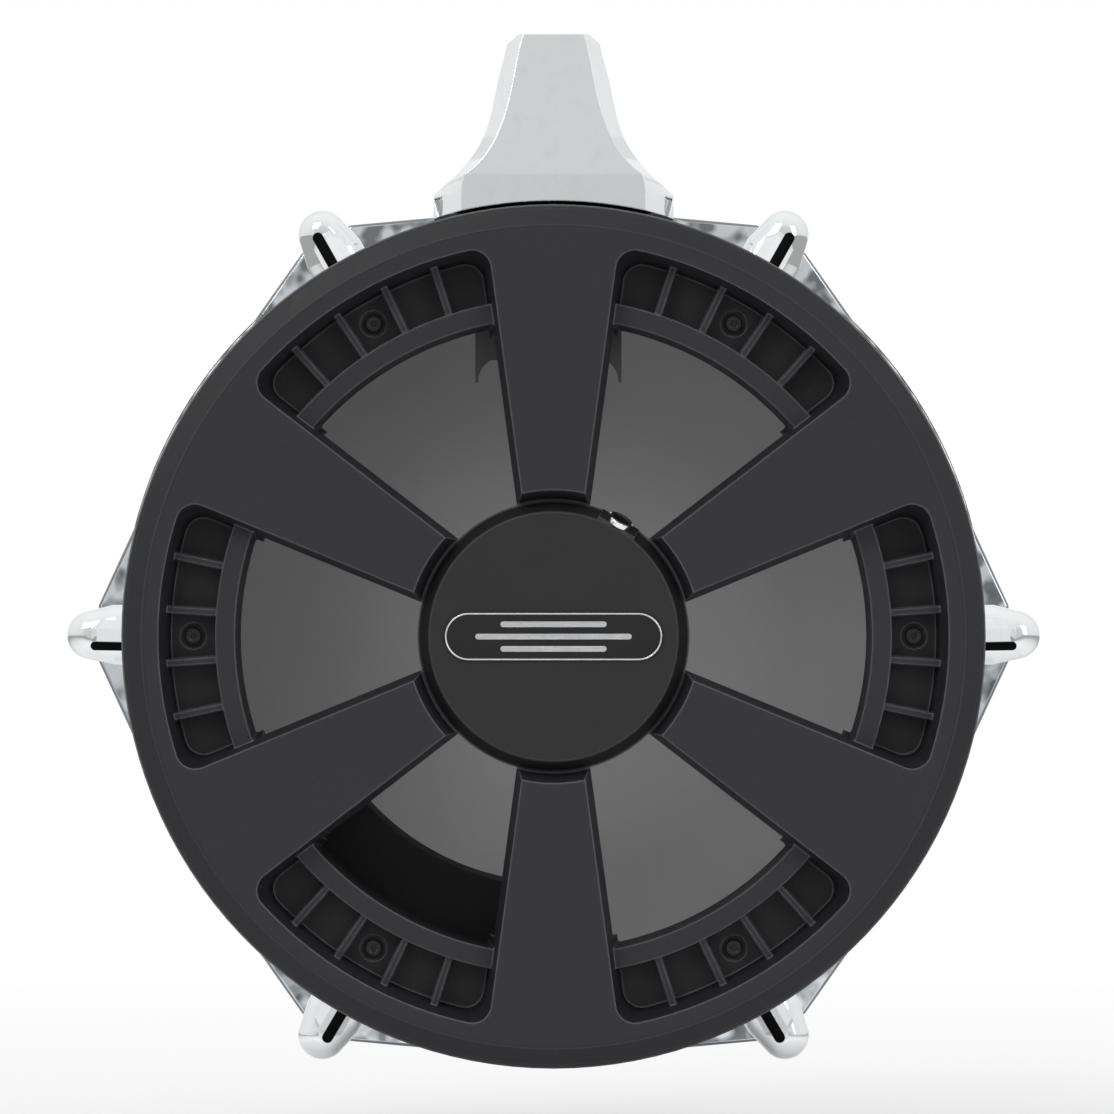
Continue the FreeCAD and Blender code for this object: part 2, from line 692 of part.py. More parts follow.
def sensor_tower():
    """A hollow cone that carries the centre sensor up to the head."""
    base, under_top = HUB_END + TOUCH_GAP, TOWER_TOP - 3.0
    wall = 2.8
    body = spun([
        (10.0, base), (TOWER_BASE_R, base), (TOWER_BASE_R, TOWER_FOOT_TOP), (TOWER_FOOT_R, TOWER_FOOT_TOP),
        (TOWER_WAIST_R, under_top), (TOWER_TOP_R, under_top), (TOWER_TOP_R, TOWER_TOP),
        (TOWER_HOLE_R, TOWER_TOP), (TOWER_HOLE_R, under_top), (TOWER_WAIST_R - wall, under_top),
        (TOWER_FOOT_R - wall, TOWER_FOOT_TOP), (10.0, TOWER_FOOT_TOP),
    ])
    low, high = base - OVER, TOWER_FOOT_TOP + OVER
    post_room = [bar(3.6, polar(POST_R, a, low), polar(POST_R, a, high)) for a in POST_ANGLES]
    holes = [bar(M3_R + SCREW_GAP, polar(TOWER_SCREW_R, a, low), polar(TOWER_SCREW_R, a, high))
             for a in TOWER_SCREW_ANGLES]
    return body.cut(holes + post_room)


def tower_screws():
    screws = []
    for a in TOWER_SCREW_ANGLES:
        seat, top = TOWER_FOOT_TOP + TOUCH_GAP, TOWER_FOOT_TOP + 2.2
        shank = bar(M3_R, polar(TOWER_SCREW_R, a, TOWER_BOSS_TOP + 2.0), polar(TOWER_SCREW_R, a, seat + 1.0))
        head = bar(M3_HEAD_R, polar(TOWER_SCREW_R, a, seat), polar(TOWER_SCREW_R, a, top))
        socket = hexagon_socket(2.5, top, -1.2).translated(polar(TOWER_SCREW_R, a))
        screws.append(fused([shank, head]).cut(socket))
    return Part.makeCompound(screws)


def sensor_cushion():
    return ring(CUSHION_R_IN, CUSHION_R_OUT, TOWER_TOP + TOUCH_GAP, SENSOR_RING_TOP - TOUCH_GAP)


def sensor_plate():
    return disc(SENSOR_PLATE_R, SENSOR_RING_TOP, SENSOR_PLATE_TOP)


def centre_piezo_disc():
    return disc(PIEZO_R, SENSOR_RING_TOP - 0.35, SENSOR_RING_TOP - TOUCH_GAP)


def centre_piezo_ceramic():
    return disc(CERAMIC_R, SENSOR_RING_TOP - 0.65, SENSOR_RING_TOP - 0.36)


def foam_cone():
    base = SENSOR_PLATE_TOP + TOUCH_GAP
    return spun([(0, base), (FOAM_BASE_R, base), (FOAM_BASE_R, 107), (FOAM_TIP_R, FOAM_TIP), (0, FOAM_TIP)])


def centre_sensor_cable():
    """Down through the tower from the centre piezo to the circuit board."""
    top = SENSOR_RING_TOP - 1.1
    points = [V(3, top, 0), V(3, 94, 0), V(6, 78, 4), V(4, 58, -3), V(1, 46, 0), V(1, BOARD_REAR + 5.0, 0)]
    return cable(points, 1.2)


def rim_sensor_cover():
    """A curved box against the shell, open on the shell side, with a screw tab at each end."""
    block = sector(COVER_R_IN, COVER_R_OUT, COVER_REAR, COVER_FRONT, COVER_START, COVER_END)
    room = sector(COVER_R_IN + WALL, SHELL_R_IN + 2, COVER_REAR + WALL, COVER_FRONT - WALL,
                  COVER_START + 1.5, COVER_END - 1.5)
    tab_ends = [(COVER_SCREW_ANGLES[0] - 2, COVER_START + 1), (COVER_END - 1, COVER_SCREW_ANGLES[1] + 2)]
    tabs = [sector(COVER_R_OUT - WALL, COVER_R_OUT, COVER_SCREW_DEPTH - 9, COVER_SCREW_DEPTH + 9, start, end)
            for start, end in tab_ends]
    shape = fused([block.cut(room)] + tabs)
    anchor_room = turned(box(138, 148, COVER_REAR - OVER, COVER_FRONT + OVER, -10, 10), 240)
    cable_hole = bar(CABLE_HOLE_R, polar(85.0, RIM_CABLE_ANGLE, 56.0), polar(100.0, RIM_CABLE_ANGLE, 56.0))
    screw_holes = [
        bar(COVER_SCREW_R + SCREW_GAP, polar(138, a, COVER_SCREW_DEPTH), polar(147, a, COVER_SCREW_DEPTH))
        for a in COVER_SCREW_ANGLES
    ]
    return shape.cut([anchor_room, cable_hole] + screw_holes)


def rim_cover_screws():
    screws = []
    for a in COVER_SCREW_ANGLES:
        shank = bar(COVER_SCREW_R, polar(142.0, a, COVER_SCREW_DEPTH), polar(150.0, a, COVER_SCREW_DEPTH))
        head = bar(COVER_SCREW_HEAD_R, polar(140.9, a, COVER_SCREW_DEPTH), polar(142.9, a, COVER_SCREW_DEPTH))
        screws.append(fused([shank, head]))
    return Part.makeCompound(screws)


def rim_sensor_tape():
    """Thick sticky pad that holds the rim piezo on the shell."""
    pad = box(TAPE_R, 146.0, RIM_PIEZO_DEPTH - 8, RIM_PIEZO_DEPTH + 8, -8, 8)
    return turned(pad.common(disc(SHELL_R_IN - TOUCH_GAP, 40, 90)), RIM_PIEZO_ANGLE)


def rim_piezo_disc():
    plate = bar(PIEZO_R, V(TAPE_R - 0.35, RIM_PIEZO_DEPTH, 0), V(TAPE_R - TOUCH_GAP, RIM_PIEZO_DEPTH, 0))
    return turned(plate, RIM_PIEZO_ANGLE)


def rim_piezo_ceramic():
    plate = bar(CERAMIC_R, V(TAPE_R - 0.68, RIM_PIEZO_DEPTH, 0), V(TAPE_R - 0.38, RIM_PIEZO_DEPTH, 0))
    return turned(plate, RIM_PIEZO_ANGLE)


def rim_sensor_cable():
    """From the rim sensor, out of its cover, behind the lowest spoke and into the hub."""
    at_piezo = [polar(142.0, RIM_PIEZO_ANGLE, RIM_PIEZO_DEPTH), polar(128.0, 232, 60), polar(112.0, 256, 57)]
    to_hub = [(97.0, 56.0), (88.0, 55.0), (80.0, 36.0), (66.0, 22.5), (52.0, 22.0), (40.0, 22.5), (23.0, 26.5)]
    return cable(at_piezo + [polar(r, RIM_CABLE_ANGLE, y) for r, y in to_hub], 1.5)


# ---------------------------------------------------------------- shell, lugs and frame fixings


def lug_screw_axis(y, r0, r1, r):
    """A bar on the axis of the lug screw at depth y and angle 0."""
    return bar(r, V(r0, y, 0), V(r1, y, 0))


def bracket_screw_bars(r, r0=135.0, r1=164.5):
    """Bars of radius r on the axes of the four bracket screws."""
    places = [(a, y) for a in BRACKET_SCREW_ANGLES for y in BRACKET_SCREW_DEPTHS]
    return [bar(r, polar(r0, a, y), polar(r1, a, y)) for a, y in places]


def rod_passage():
    """The hole that lets the mounting rod into the shell."""
    return Part.makeCylinder(ROD_PASSAGE_R, 40, V(0, MOUNT_ROD_Y, 130), UP)


def on_rod(r, y0, y1):
    """A bar on the axis of the tension rod at angle 0."""
    return bar(r, V(ROD_CIRCLE_R, y0, 0), V(ROD_CIRCLE_R, y1, 0))


def shell():
    wall = spun([
        (SHELL_R_IN, SHELL_REAR), (SHELL_R_OUT, SHELL_REAR), (SHELL_R_OUT, BEARING_EDGE - 2.0),
        (SHELL_R_OUT - 0.7, BEARING_EDGE - 0.6), (BEARING_R, BEARING_EDGE),
        (BEARING_R - 0.9, BEARING_EDGE - 0.5), (SHELL_R_IN, BEARING_EDGE - 3.8),
    ])
    lug_holes = [turned(lug_screw_axis(y, 140, 156, LUG_SCREW_SHANK_R + LOOSE_GAP), a)
                 for a in STATIONS for y in LUG_SCREW_DEPTHS]
    cover_holes = [
        bar(COVER_SCREW_R + RUNNING_GAP, polar(140, a, COVER_SCREW_DEPTH), polar(150.3, a, COVER_SCREW_DEPTH))
        for a in COVER_SCREW_ANGLES
    ]
    return wall.cut(lug_holes + cover_holes + bracket_screw_bars(BRACKET_SCREW_R + LOOSE_GAP) + [rod_passage()])


def lug_outline(y):
    """The wire of the lug's section at depth y: straight sides, then tangents to the round of the barrel."""
    reach = ROD_CIRCLE_R - LUG_SHOULDER_R
    towards = math.atan2(LUG_HALF, -reach)
    opens = math.acos(LUG_BARREL_R / math.hypot(reach, LUG_HALF))
    touch_x = ROD_CIRCLE_R + LUG_BARREL_R * math.cos(towards - opens)
    touch_z = LUG_BARREL_R * math.sin(towards - opens)
    foot = SHELL_R_OUT - 4.0
    lower, upper = V(touch_x, y, -touch_z), V(touch_x, y, touch_z)
    tip = V(ROD_CIRCLE_R + LUG_BARREL_R, y, 0)
    sides = [lower, V(LUG_SHOULDER_R, y, -LUG_HALF), V(foot, y, -LUG_HALF), V(foot, y, LUG_HALF),
             V(LUG_SHOULDER_R, y, LUG_HALF), upper]
    return Part.Wire(Part.makePolygon(sides).Edges + [Part.Arc(upper, tip, lower).toShape()])


def lug():
    """A cast tension lug at angle 0: a body round the rod, and a tongue running down to the rear."""
    body = Part.Face(lug_outline(LUG_REAR)).extrude(V(0, LUG_FRONT - LUG_REAR, 0))
    body = rounded(body, LUG_DOME, edge_at_y(LUG_REAR))
    slope = [(150, TONGUE_END), (154.6, TONGUE_END), (TONGUE_TIP_R, TONGUE_TIP_Y), (TONGUE_TIP_R, 72.0),
             (150, 72.0)]
    side = Part.makePolygon([V(x, y, -TONGUE_HALF) for x, y in slope + slope[:1]])
    tongue = Part.Face(side).extrude(V(0, 0, 2 * TONGUE_HALF))
    tongue = bevelled(tongue, TONGUE_BEVEL, lambda e: 155 < e.CenterOfMass.x < 170 and e.Length > 30)
    shape = fused([body, tongue])
    rod_bore = on_rod(EAR_HOLE_R, ROD_TIP - 6.0, LUG_FRONT + OVER)
    nut_room = on_rod(NUT_R + SCREW_GAP, NUT_REAR - SCREW_GAP, NUT_FRONT + SCREW_GAP)
    screw_holes = [lug_screw_axis(y, 145, 162, LUG_SCREW_SHANK_R + RUNNING_GAP) for y in LUG_SCREW_DEPTHS]
    return shape.cut([disc(LUG_SEAT_R, 20, 110), rod_bore, nut_room] + screw_holes)


def lug_gasket():
    half, tail_half = LUG_HALF + GASKET_BORDER, TONGUE_HALF + GASKET_BORDER
    outline = box(150, 156, LUG_REAR - GASKET_BORDER, LUG_FRONT - 0.9, -half, half)
    tail = box(150, 156, TONGUE_END - GASKET_BORDER, LUG_REAR, -tail_half, tail_half)
    holes = [lug_screw_axis(y, 150, 158, LUG_SCREW_SHANK_R + LOOSE_GAP) for y in LUG_SCREW_DEPTHS]
    layer = ring(SHELL_R_OUT + TOUCH_GAP, LUG_SEAT_R - TOUCH_GAP, 20, 110)
    return fused([outline, tail]).common(layer).cut(holes)


def lug_nut():
    return on_rod(NUT_R, NUT_REAR, NUT_FRONT).cut(on_rod(ROD_R + RUNNING_GAP, NUT_REAR - 1, NUT_FRONT + 1))


def lug_screw(y):
    """A screw from inside the shell. The rearmost one of each pair also holds the frame anchor."""
    seat = SHELL_R_IN - (ANCHOR_THICK + 0.2 if y == LUG_SCREW_DEPTHS[0] else 0.1)
    shank = lug_screw_axis(y, seat - 1.0, 161, LUG_SCREW_SHANK_R)
    head = lug_screw_axis(y, seat - 2.6, seat, 3.6)
    return fused([shank, head])


def lug_screws():
    return Part.makeCompound([turned(lug_screw(y), a) for a in STATIONS for y in LUG_SCREW_DEPTHS])


def frame_anchor():
    """An angle bracket at angle 0: one leg on the shell, the other under the frame's screw boss."""
    half = ANCHOR_HALF
    tab = box(123.5, SHELL_R_IN, ANCHOR_TAB, ANCHOR_TAB + ANCHOR_THICK, -half, half)
    leg = box(SHELL_R_IN - ANCHOR_THICK - 0.2, SHELL_R_IN + 1, ANCHOR_TAB, ANCHOR_END, -half, half)
    shape = fused([tab, leg]).common(disc(SHELL_R_IN - TOUCH_GAP, 20, 80))
    holes = [
        bar(FRAME_SHANK_R + RUNNING_GAP, V(FRAME_SCREW_R, 29, 0), V(FRAME_SCREW_R, 34, 0)),
        lug_screw_axis(LUG_SCREW_DEPTHS[0], 140, 150, LUG_SCREW_SHANK_R + LOOSE_GAP),
    ]
    return shape.cut(holes)


def frame_screw():
    """A socket-head screw at angle 0, from the pocket's recess into the anchor."""
    seat = POCKET_FLOOR + FRAME_RECESS_DEPTH - TOUCH_GAP
    top = seat - FRAME_SCREW_HEAD
    head = bar(FRAME_SCREW_HEAD_R, V(FRAME_SCREW_R, top, 0), V(FRAME_SCREW_R, seat, 0))
    head = rounded(head, 0.5, edge_at_y(top))
    shank = bar(FRAME_SHANK_R, V(FRAME_SCREW_R, seat - 0.5, 0), V(FRAME_SCREW_R, ANCHOR_TAB + 7.0, 0))
    return fused([head, shank]).cut(hexagon_socket(3.0, top, 1.6).translated(V(FRAME_SCREW_R, 0, 0)))


# ---------------------------------------------------------------- hoop, head and tension rods


def ear():
    """A flat ear of the hoop at angle 0: straight flanks that run in to the band, round tip at the rod."""
    plate = prism([
        (155, -EAR_ROOT_Z), (EAR_ROOT_X, -EAR_ROOT_Z), (EAR_TIP_X, -EAR_TIP_Z), (EAR_TIP_X, EAR_TIP_Z),
        (EAR_ROOT_X, EAR_ROOT_Z), (155, EAR_ROOT_Z),
    ], EAR_REAR, EAR_FRONT)
    plate = fused([plate, on_rod(8.4, EAR_REAR, EAR_FRONT)])
    plate = rounded(plate, 1.2, lambda e: edge_at_y(EAR_REAR)(e) and e.CenterOfMass.x > 156)
    return plate.cut(disc(HOOP_BAND_R_IN + 1, 100, 130))


def counter_hoop():
    """A pressed steel hoop: band with a beaded rear edge, shelf over the head's own hoop, rim with a lip."""
    bead = HOOP_BAND_R_OUT + 0.6
    bead_end = EAR_REAR + HOOP_THICK
    lip_rear = HOOP_FRONT - HOOP_THICK
    band = spun([
        (HOOP_BAND_R_IN, EAR_REAR), (bead, EAR_REAR), (bead, bead_end), (HOOP_BAND_R_OUT, bead_end),
        (HOOP_BAND_R_OUT, HOOP_SHELF_FRONT), (HOOP_RIM_R_OUT, HOOP_SHELF_FRONT), (HOOP_RIM_R_OUT, lip_rear),
        (HOOP_LIP_R, lip_rear), (HOOP_LIP_R, HOOP_FRONT), (HOOP_RIM_R_IN, HOOP_FRONT),
        (HOOP_RIM_R_IN, HOOP_SHELF), (HOOP_BAND_R_IN, HOOP_SHELF),
    ])
    hole = on_rod(EAR_HOLE_R, EAR_REAR - OVER, EAR_FRONT + OVER)
    return fused([band] + at_stations(ear())).cut(at_stations(hole))


def rim_rubber():
    """Rubber cover over the hoop's front lip."""
    lip = HOOP_LIP_R + RUBBER_GAP
    inner, outer = HOOP_RIM_R_IN - RUBBER_GAP, HOOP_RIM_R_OUT + RUBBER_GAP
    lip_rear, lip_front = HOOP_FRONT - HOOP_THICK - RUBBER_GAP, HOOP_FRONT + RUBBER_GAP
    body = spun([
        (outer, RUBBER_REAR), (RUBBER_R_OUT, RUBBER_REAR), (RUBBER_R_OUT, RUBBER_FRONT),
        (RUBBER_R_IN, RUBBER_FRONT), (RUBBER_R_IN, RUBBER_REAR + 0.8), (inner, RUBBER_REAR + 0.8),
        (inner, lip_front), (lip, lip_front), (lip, lip_rear), (outer, lip_rear),
    ])
    return rounded(body, 3.6, edge_at_y(RUBBER_FRONT))


def flesh_hoop():
    body = ring(FLESH_R_IN, FLESH_R_OUT, FLESH_REAR, FLESH_FRONT)
    return rounded(body, 1.0, lambda e: edge_at_y(FLESH_FRONT)(e) or edge_at_y(FLESH_REAR)(e))


def mesh_head():
    """The two-ply mesh, with the collar that comes down over the bearing edge."""
    inner = BEARING_EDGE + TOUCH_GAP
    outer = inner + HEAD_THICK
    skirt = HEAD_SKIRT_R + HEAD_THICK
    return spun([
        (0, inner), (BEARING_R, inner), (152.2, BEARING_EDGE - 0.4), (HEAD_SKIRT_R, BEARING_EDGE - 2.0),
        (HEAD_SKIRT_R, HEAD_SKIRT_END), (skirt, HEAD_SKIRT_END), (skirt, BEARING_EDGE - 1.8),
        (152.6, BEARING_EDGE + 0.1), (BEARING_R, outer), (0, outer),
    ])


def tension_rod():
    """A square-headed tension rod at angle 0."""
    seat = WASHER_TOP + TOUCH_GAP
    shank = bevelled(on_rod(ROD_R, ROD_TIP, seat + 1), 0.6, edge_at_y(ROD_TIP))
    flange = on_rod(ROD_FLANGE_R, seat, seat + 1.9)
    neck = on_rod(4.2, seat + 1, seat + 4)
    half = ROD_KEY_HALF
    key = box(ROD_CIRCLE_R - half, ROD_CIRCLE_R + half, seat + 3, seat + 12, -half, half)
    key = bevelled(key, 0.7, edge_at_y(seat + 12))
    return fused([shank, flange, neck, key])


def rod_washer():
    washer = on_rod(WASHER_R, EAR_FRONT + TOUCH_GAP, WASHER_TOP)
    return washer.cut(on_rod(ROD_R + 0.3, EAR_FRONT - OVER, WASHER_TOP + OVER))


# ---------------------------------------------------------------- bracket and clamp


def bracket_section(z, flat, half, rear, depth, corner):
    """An octagon in the horizontal plane at height z: flat rear and front faces of half-width flat."""
    front = rear + depth
    points = [
        (-flat, rear), (flat, rear), (half, rear + corner), (half, front - corner),
        (flat, front), (-flat, front), (-half, front - corner), (-half, rear + corner),
    ]
    corners = [V(x, y, z) for x, y in points]
    return Part.makePolygon(corners + corners[:1])


# height, half-width of the flat rear face, half-width over all, rear face, depth, corner depth
FOOT_SECTIONS = [
    (138.0, 33.5, 43.9, 31.0, 52.0, 11.0),
    (160.0, 33.5, 43.6, 31.0, 52.0, 11.0),
    (163.2, 33.4, 40.2, 31.0, 52.0, 10.0),
    (167.4, 32.2, 35.2, 31.0, 52.0, 8.0),
]
NECK_SECTIONS = [
    (167.4, 32.2, 35.2, 31.0, 52.0, 8.0),
    (173.4, 25.6, 30.2, 32.0, 49.5, 8.0),
    (181.0, 20.9, 25.6, 33.2, 46.5, 8.0),
    (190.0, 17.5, 22.7, 34.6, 43.0, 8.0),
    (202.0, 14.7, 20.2, 36.3, 40.0, 8.0),
    (215.4, 12.0, 16.9, 38.0, 38.0, 7.0),
]
CAP_SECTIONS = [
    (215.4, 12.0, 16.9, 38.0, 38.0, 7.0),
    (BRACKET_TOP, 11.0, 12.8, 38.4, 37.2, 2.4),
]


def bracket():
    """A cast arm: foot on the shell, waisted neck, and a bore for the mounting rod, relieved beside the jaw."""
    foot = Part.makeLoft([bracket_section(*s) for s in FOOT_SECTIONS], True, True)
    neck = Part.makeLoft([bracket_section(*s) for s in NECK_SECTIONS], True, False)
    top = Part.makeLoft([bracket_section(*s) for s in CAP_SECTIONS], True, True)
    boss = bar(WING_BOSS_R, V(0, 60, CLAMP_Z), V(0, WING_BOSS_END, CLAMP_Z))
    shape = foot.fuse([neck, top, boss])
    pocket_low, pocket_high = CLAMP_Z - CLAMP_HALF_Z - SCREW_GAP, CLAMP_Z + CLAMP_HALF_Z + SCREW_GAP
    pocket_half = JAW_HALF_X + SCREW_GAP
    cutters = [
        disc(BRACKET_SEAT_R, 20, 100),
        Part.makeCylinder(MOUNT_BORE_R, 90, V(0, MOUNT_ROD_Y, 140), UP),
        Part.makeCylinder(CLAMP_RELIEF_R, pocket_high - pocket_low, V(0, MOUNT_ROD_Y, pocket_low), UP),
        Part.makeCone(MOUNT_BORE_R, MOUNT_BORE_R + 1, 1, V(0, MOUNT_ROD_Y, BRACKET_TOP - 1), UP),
        box(-pocket_half, pocket_half, MOUNT_ROD_Y - 1, CLAMP_POCKET_BACK, pocket_low, pocket_high),
        bar(WING_THREAD_R, V(0, CLAMP_POCKET_BACK - 1, CLAMP_Z), V(0, 90, CLAMP_Z)),
    ]
    return shape.cut(cutters + bracket_screw_bars(BRACKET_SCREW_R + RUNNING_GAP))


def bracket_layer(r_in, r_out, rear, half_angle):
    """A curved plate under the bracket, 50 mm deep, with holes for the rod and the screws."""
    plate = sector(r_in, r_out, rear, rear + 50.0, TOP_ANGLE - half_angle, TOP_ANGLE + half_angle)
    return plate.cut([rod_passage()] + bracket_screw_bars(BRACKET_SCREW_R + LOOSE_GAP))


def bracket_gasket():
    return bracket_layer(SHELL_R_OUT + TOUCH_GAP, BRACKET_SEAT_R - TOUCH_GAP, 32.0, 15.6)


def bracket_backing_plate():
    return bracket_layer(BACKING_R_IN, SHELL_R_IN - TOUCH_GAP, 33.0, 18.0)


def rod_pocket():
    """The closed box inside the shell that the mounting rod runs down into."""
    x0, x1 = ROD_POCKET_MID_X - ROD_POCKET_HALF, ROD_POCKET_MID_X + ROD_POCKET_HALF
    y0, y1 = ROD_POCKET_REAR, ROD_POCKET_FRONT
    r_out = BACKING_R_IN - TOUCH_GAP
    flange = sector(141.2, r_out, 33.0, 83.0, TOP_ANGLE - 18.0, TOP_ANGLE + 18.0)
    block = box(x0, x1, y0, y1, ROD_POCKET_END_Z, 146).common(disc(r_out, 30, 90))
    room = box(x0 + WALL, x1 - WALL, y0 + WALL, y1 - WALL, ROD_POCKET_END_Z + WALL, 150)
    leg = box(x0, x0 + 6.5, y0, y0 + WALL, ROD_POCKET_END_Z - 9.0, ROD_POCKET_END_Z + 0.5)
    leg = leg.cut(Part.makeCylinder(8.5, 4, V(x0 + 9.6, y0 - OVER, ROD_POCKET_END_Z - 8.5), AXIS))
    other = leg.mirror(V(ROD_POCKET_MID_X, 0, 0), V(1, 0, 0))
    shape = fused([flange, block, leg, other]).cut(room)
    return shape.cut(bracket_screw_bars(BRACKET_SCREW_R + LOOSE_GAP))


def bracket_screws():
    shanks = bracket_screw_bars(BRACKET_SCREW_R, 139.0, 163.5)
    heads = bracket_screw_bars(4.2, 137.6, 140.9)
    return Part.makeCompound([fused(pair) for pair in zip(shanks, heads)])


def clamp_jaw():
    """The block that the wing bolt presses on the mounting rod."""
    low, high = CLAMP_Z - CLAMP_HALF_Z, CLAMP_Z + CLAMP_HALF_Z
    block = box(-JAW_HALF_X, JAW_HALF_X, MOUNT_ROD_Y + 2.5, JAW_BACK, low, high)
    return block.cut(Part.makeCylinder(MOUNT_BORE_R + 0.15, 40, V(0, MOUNT_ROD_Y, CLAMP_Z - 20), UP))


def wing_bolt():
    """A wing bolt on the head side of the neck, its wings level."""
    shank = bar(WING_THREAD_R - RUNNING_GAP, V(0, JAW_BACK + TOUCH_GAP, CLAMP_Z), V(0, WING_HUB + 1, CLAMP_Z))
    hub = Part.makeCone(7.6, 5.6, 9.5, V(0, WING_HUB, CLAMP_Z), AXIS)
    outline = [(0, 2.0), (9, 2.0), (17.0, 7.0), (18.4, 12.0), (16.0, 17.0), (11.5, 18.0), (7.5, 13.0), (0, 9.0)]
    wings = []
    for way in (-1, 1):
        corners = [V(way * x, WING_HUB + y, CLAMP_Z - WING_HALF) for x, y in outline]
        wing = Part.Face(Part.makePolygon(corners + corners[:1])).extrude(V(0, 0, 2 * WING_HALF))
        wings.append(rounded(wing, 1.2, lambda e: abs(e.CenterOfMass.x) > 3 and e.CenterOfMass.z != CLAMP_Z))
    return fused([shank, hub] + wings)


# ---------------------------------------------------------------- output


def nodes():
    """Every node's name and shape. A group of identical fasteners is one compound of separate solids."""
    parts = {
        "shell": shell(),
        "rear_frame": rear_frame(),
        "hub_cap": hub_cap(),
        "hub_badge": hub_badge(),
        "badge_inlay": badge_inlay(),
        "hub_cap_screws": hub_cap_screws(),
        "output_jack": output_jack(),
        "jack_nut": jack_nut(),
        "jack_contacts": jack_contacts(),
        "trigger_board": trigger_board(),
        "board_connectors": board_connectors(),
        "board_screws": board_screws(),
        "sensor_tower": sensor_tower(),
        "tower_screws": tower_screws(),
        "sensor_cushion": sensor_cushion(),
        "sensor_plate": sensor_plate(),
        "centre_piezo_disc": centre_piezo_disc(),
        "centre_piezo_ceramic": centre_piezo_ceramic(),
        "foam_cone": foam_cone(),
        "centre_sensor_cable": centre_sensor_cable(),
        "rim_sensor_cover": rim_sensor_cover(),
        "rim_cover_screws": rim_cover_screws(),
        "rim_sensor_tape": rim_sensor_tape(),
        "rim_piezo_disc": rim_piezo_disc(),
        "rim_piezo_ceramic": rim_piezo_ceramic(),
        "rim_sensor_cable": rim_sensor_cable(),
        "lug_gaskets": Part.makeCompound(at_stations(lug_gasket())),
        "lug_nuts": Part.makeCompound(at_stations(lug_nut())),
        "lug_screws": lug_screws(),
        "frame_anchors": Part.makeCompound(at_stations(frame_anchor())),
        "frame_screws": Part.makeCompound(at_stations(frame_screw())),
        "counter_hoop": counter_hoop(),
        "rim_rubber": rim_rubber(),
        "flesh_hoop": flesh_hoop(),
        "mesh_head": mesh_head(),
        "rod_washers": Part.makeCompound(at_stations(rod_washer())),
        "bracket": bracket(),
        "bracket_gasket": bracket_gasket(),
        "bracket_backing_plate": bracket_backing_plate(),
        "bracket_screws": bracket_screws(),
        "rod_pocket": rod_pocket(),
        "clamp_jaw": clamp_jaw(),
        "wing_bolt": wing_bolt(),
    }
    one_lug, one_rod = lug(), tension_rod()
    for number, angle in enumerate(STATIONS, start=1):
        parts[f"lug_{number}"] = turned(one_lug, angle)
        parts[f"tension_rod_{number}"] = turned(one_rod, angle)
    return parts


os.makedirs("parts", exist_ok=True)
for name, shape in nodes().items():
    if not shape.isValid() or not shape.Solids:
        raise ValueError(f"{name} is not a valid solid")
    whole = shape.Solids[0] if len(shape.Solids) == 1 else shape
    whole.exportStep(f"parts/{name}.step")
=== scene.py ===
import json
import math

import bmesh
import bpy
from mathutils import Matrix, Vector, noise


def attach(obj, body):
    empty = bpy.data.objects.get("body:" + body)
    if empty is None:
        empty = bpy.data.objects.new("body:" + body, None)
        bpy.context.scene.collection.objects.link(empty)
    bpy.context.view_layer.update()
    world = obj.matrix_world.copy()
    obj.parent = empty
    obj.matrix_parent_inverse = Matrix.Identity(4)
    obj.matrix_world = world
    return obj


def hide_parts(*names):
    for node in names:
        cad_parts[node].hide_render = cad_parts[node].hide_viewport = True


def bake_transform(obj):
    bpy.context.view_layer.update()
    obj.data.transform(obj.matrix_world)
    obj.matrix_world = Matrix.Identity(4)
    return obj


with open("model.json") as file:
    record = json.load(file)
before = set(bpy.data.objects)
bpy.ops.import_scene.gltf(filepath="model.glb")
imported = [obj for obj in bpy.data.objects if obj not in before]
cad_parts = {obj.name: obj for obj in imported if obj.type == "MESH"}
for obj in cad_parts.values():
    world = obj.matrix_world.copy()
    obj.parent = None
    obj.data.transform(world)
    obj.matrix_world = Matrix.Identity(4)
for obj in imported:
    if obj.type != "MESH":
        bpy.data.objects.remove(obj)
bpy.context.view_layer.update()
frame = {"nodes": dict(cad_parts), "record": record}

nodes = frame["nodes"]
MM = 0.001

# ---------------------------------------------------------------- places, in mm and degrees
# y runs forwards along the drum's axis from the rear face. Seen from behind, x runs to the right and z up,
# and angles run anticlockwise from the right.

SHELL_R_IN = 146.4
STAIN_R = 152.2  # the dark stain of the shell's inside ends here
BEARING_EDGE_Y = 124.0  # bare plies show beyond this
HEAD_Y = 128.05
HEAD_R = 150.4
COLLAR_R = 153.15
TURN_OVER_R = 2.7
PLY = 0.45
WEAVE = 0.72  # pitch of the mesh head's threads
FRAME_LIP_R = 154.25
FRAME_LIP_DEPTH = 5.0
GASKET_R = 152.45
LUG_SEAT_R = 153.35
BRACKET_SEAT_R = 157.5
LUG_STEP = 60
TOP_ANGLE = 90
RIM_SENSOR_ANGLE = 222
RIM_LEAD_ANGLE = 270
BADGE_HALF_LENGTH = 38.9
BADGE_HALF_HEIGHT = 8.45
FLOOR_Z = -200.0

REARWARDS = (0.0, -1.0, 0.0)

# ---------------------------------------------------------------- node graph helpers


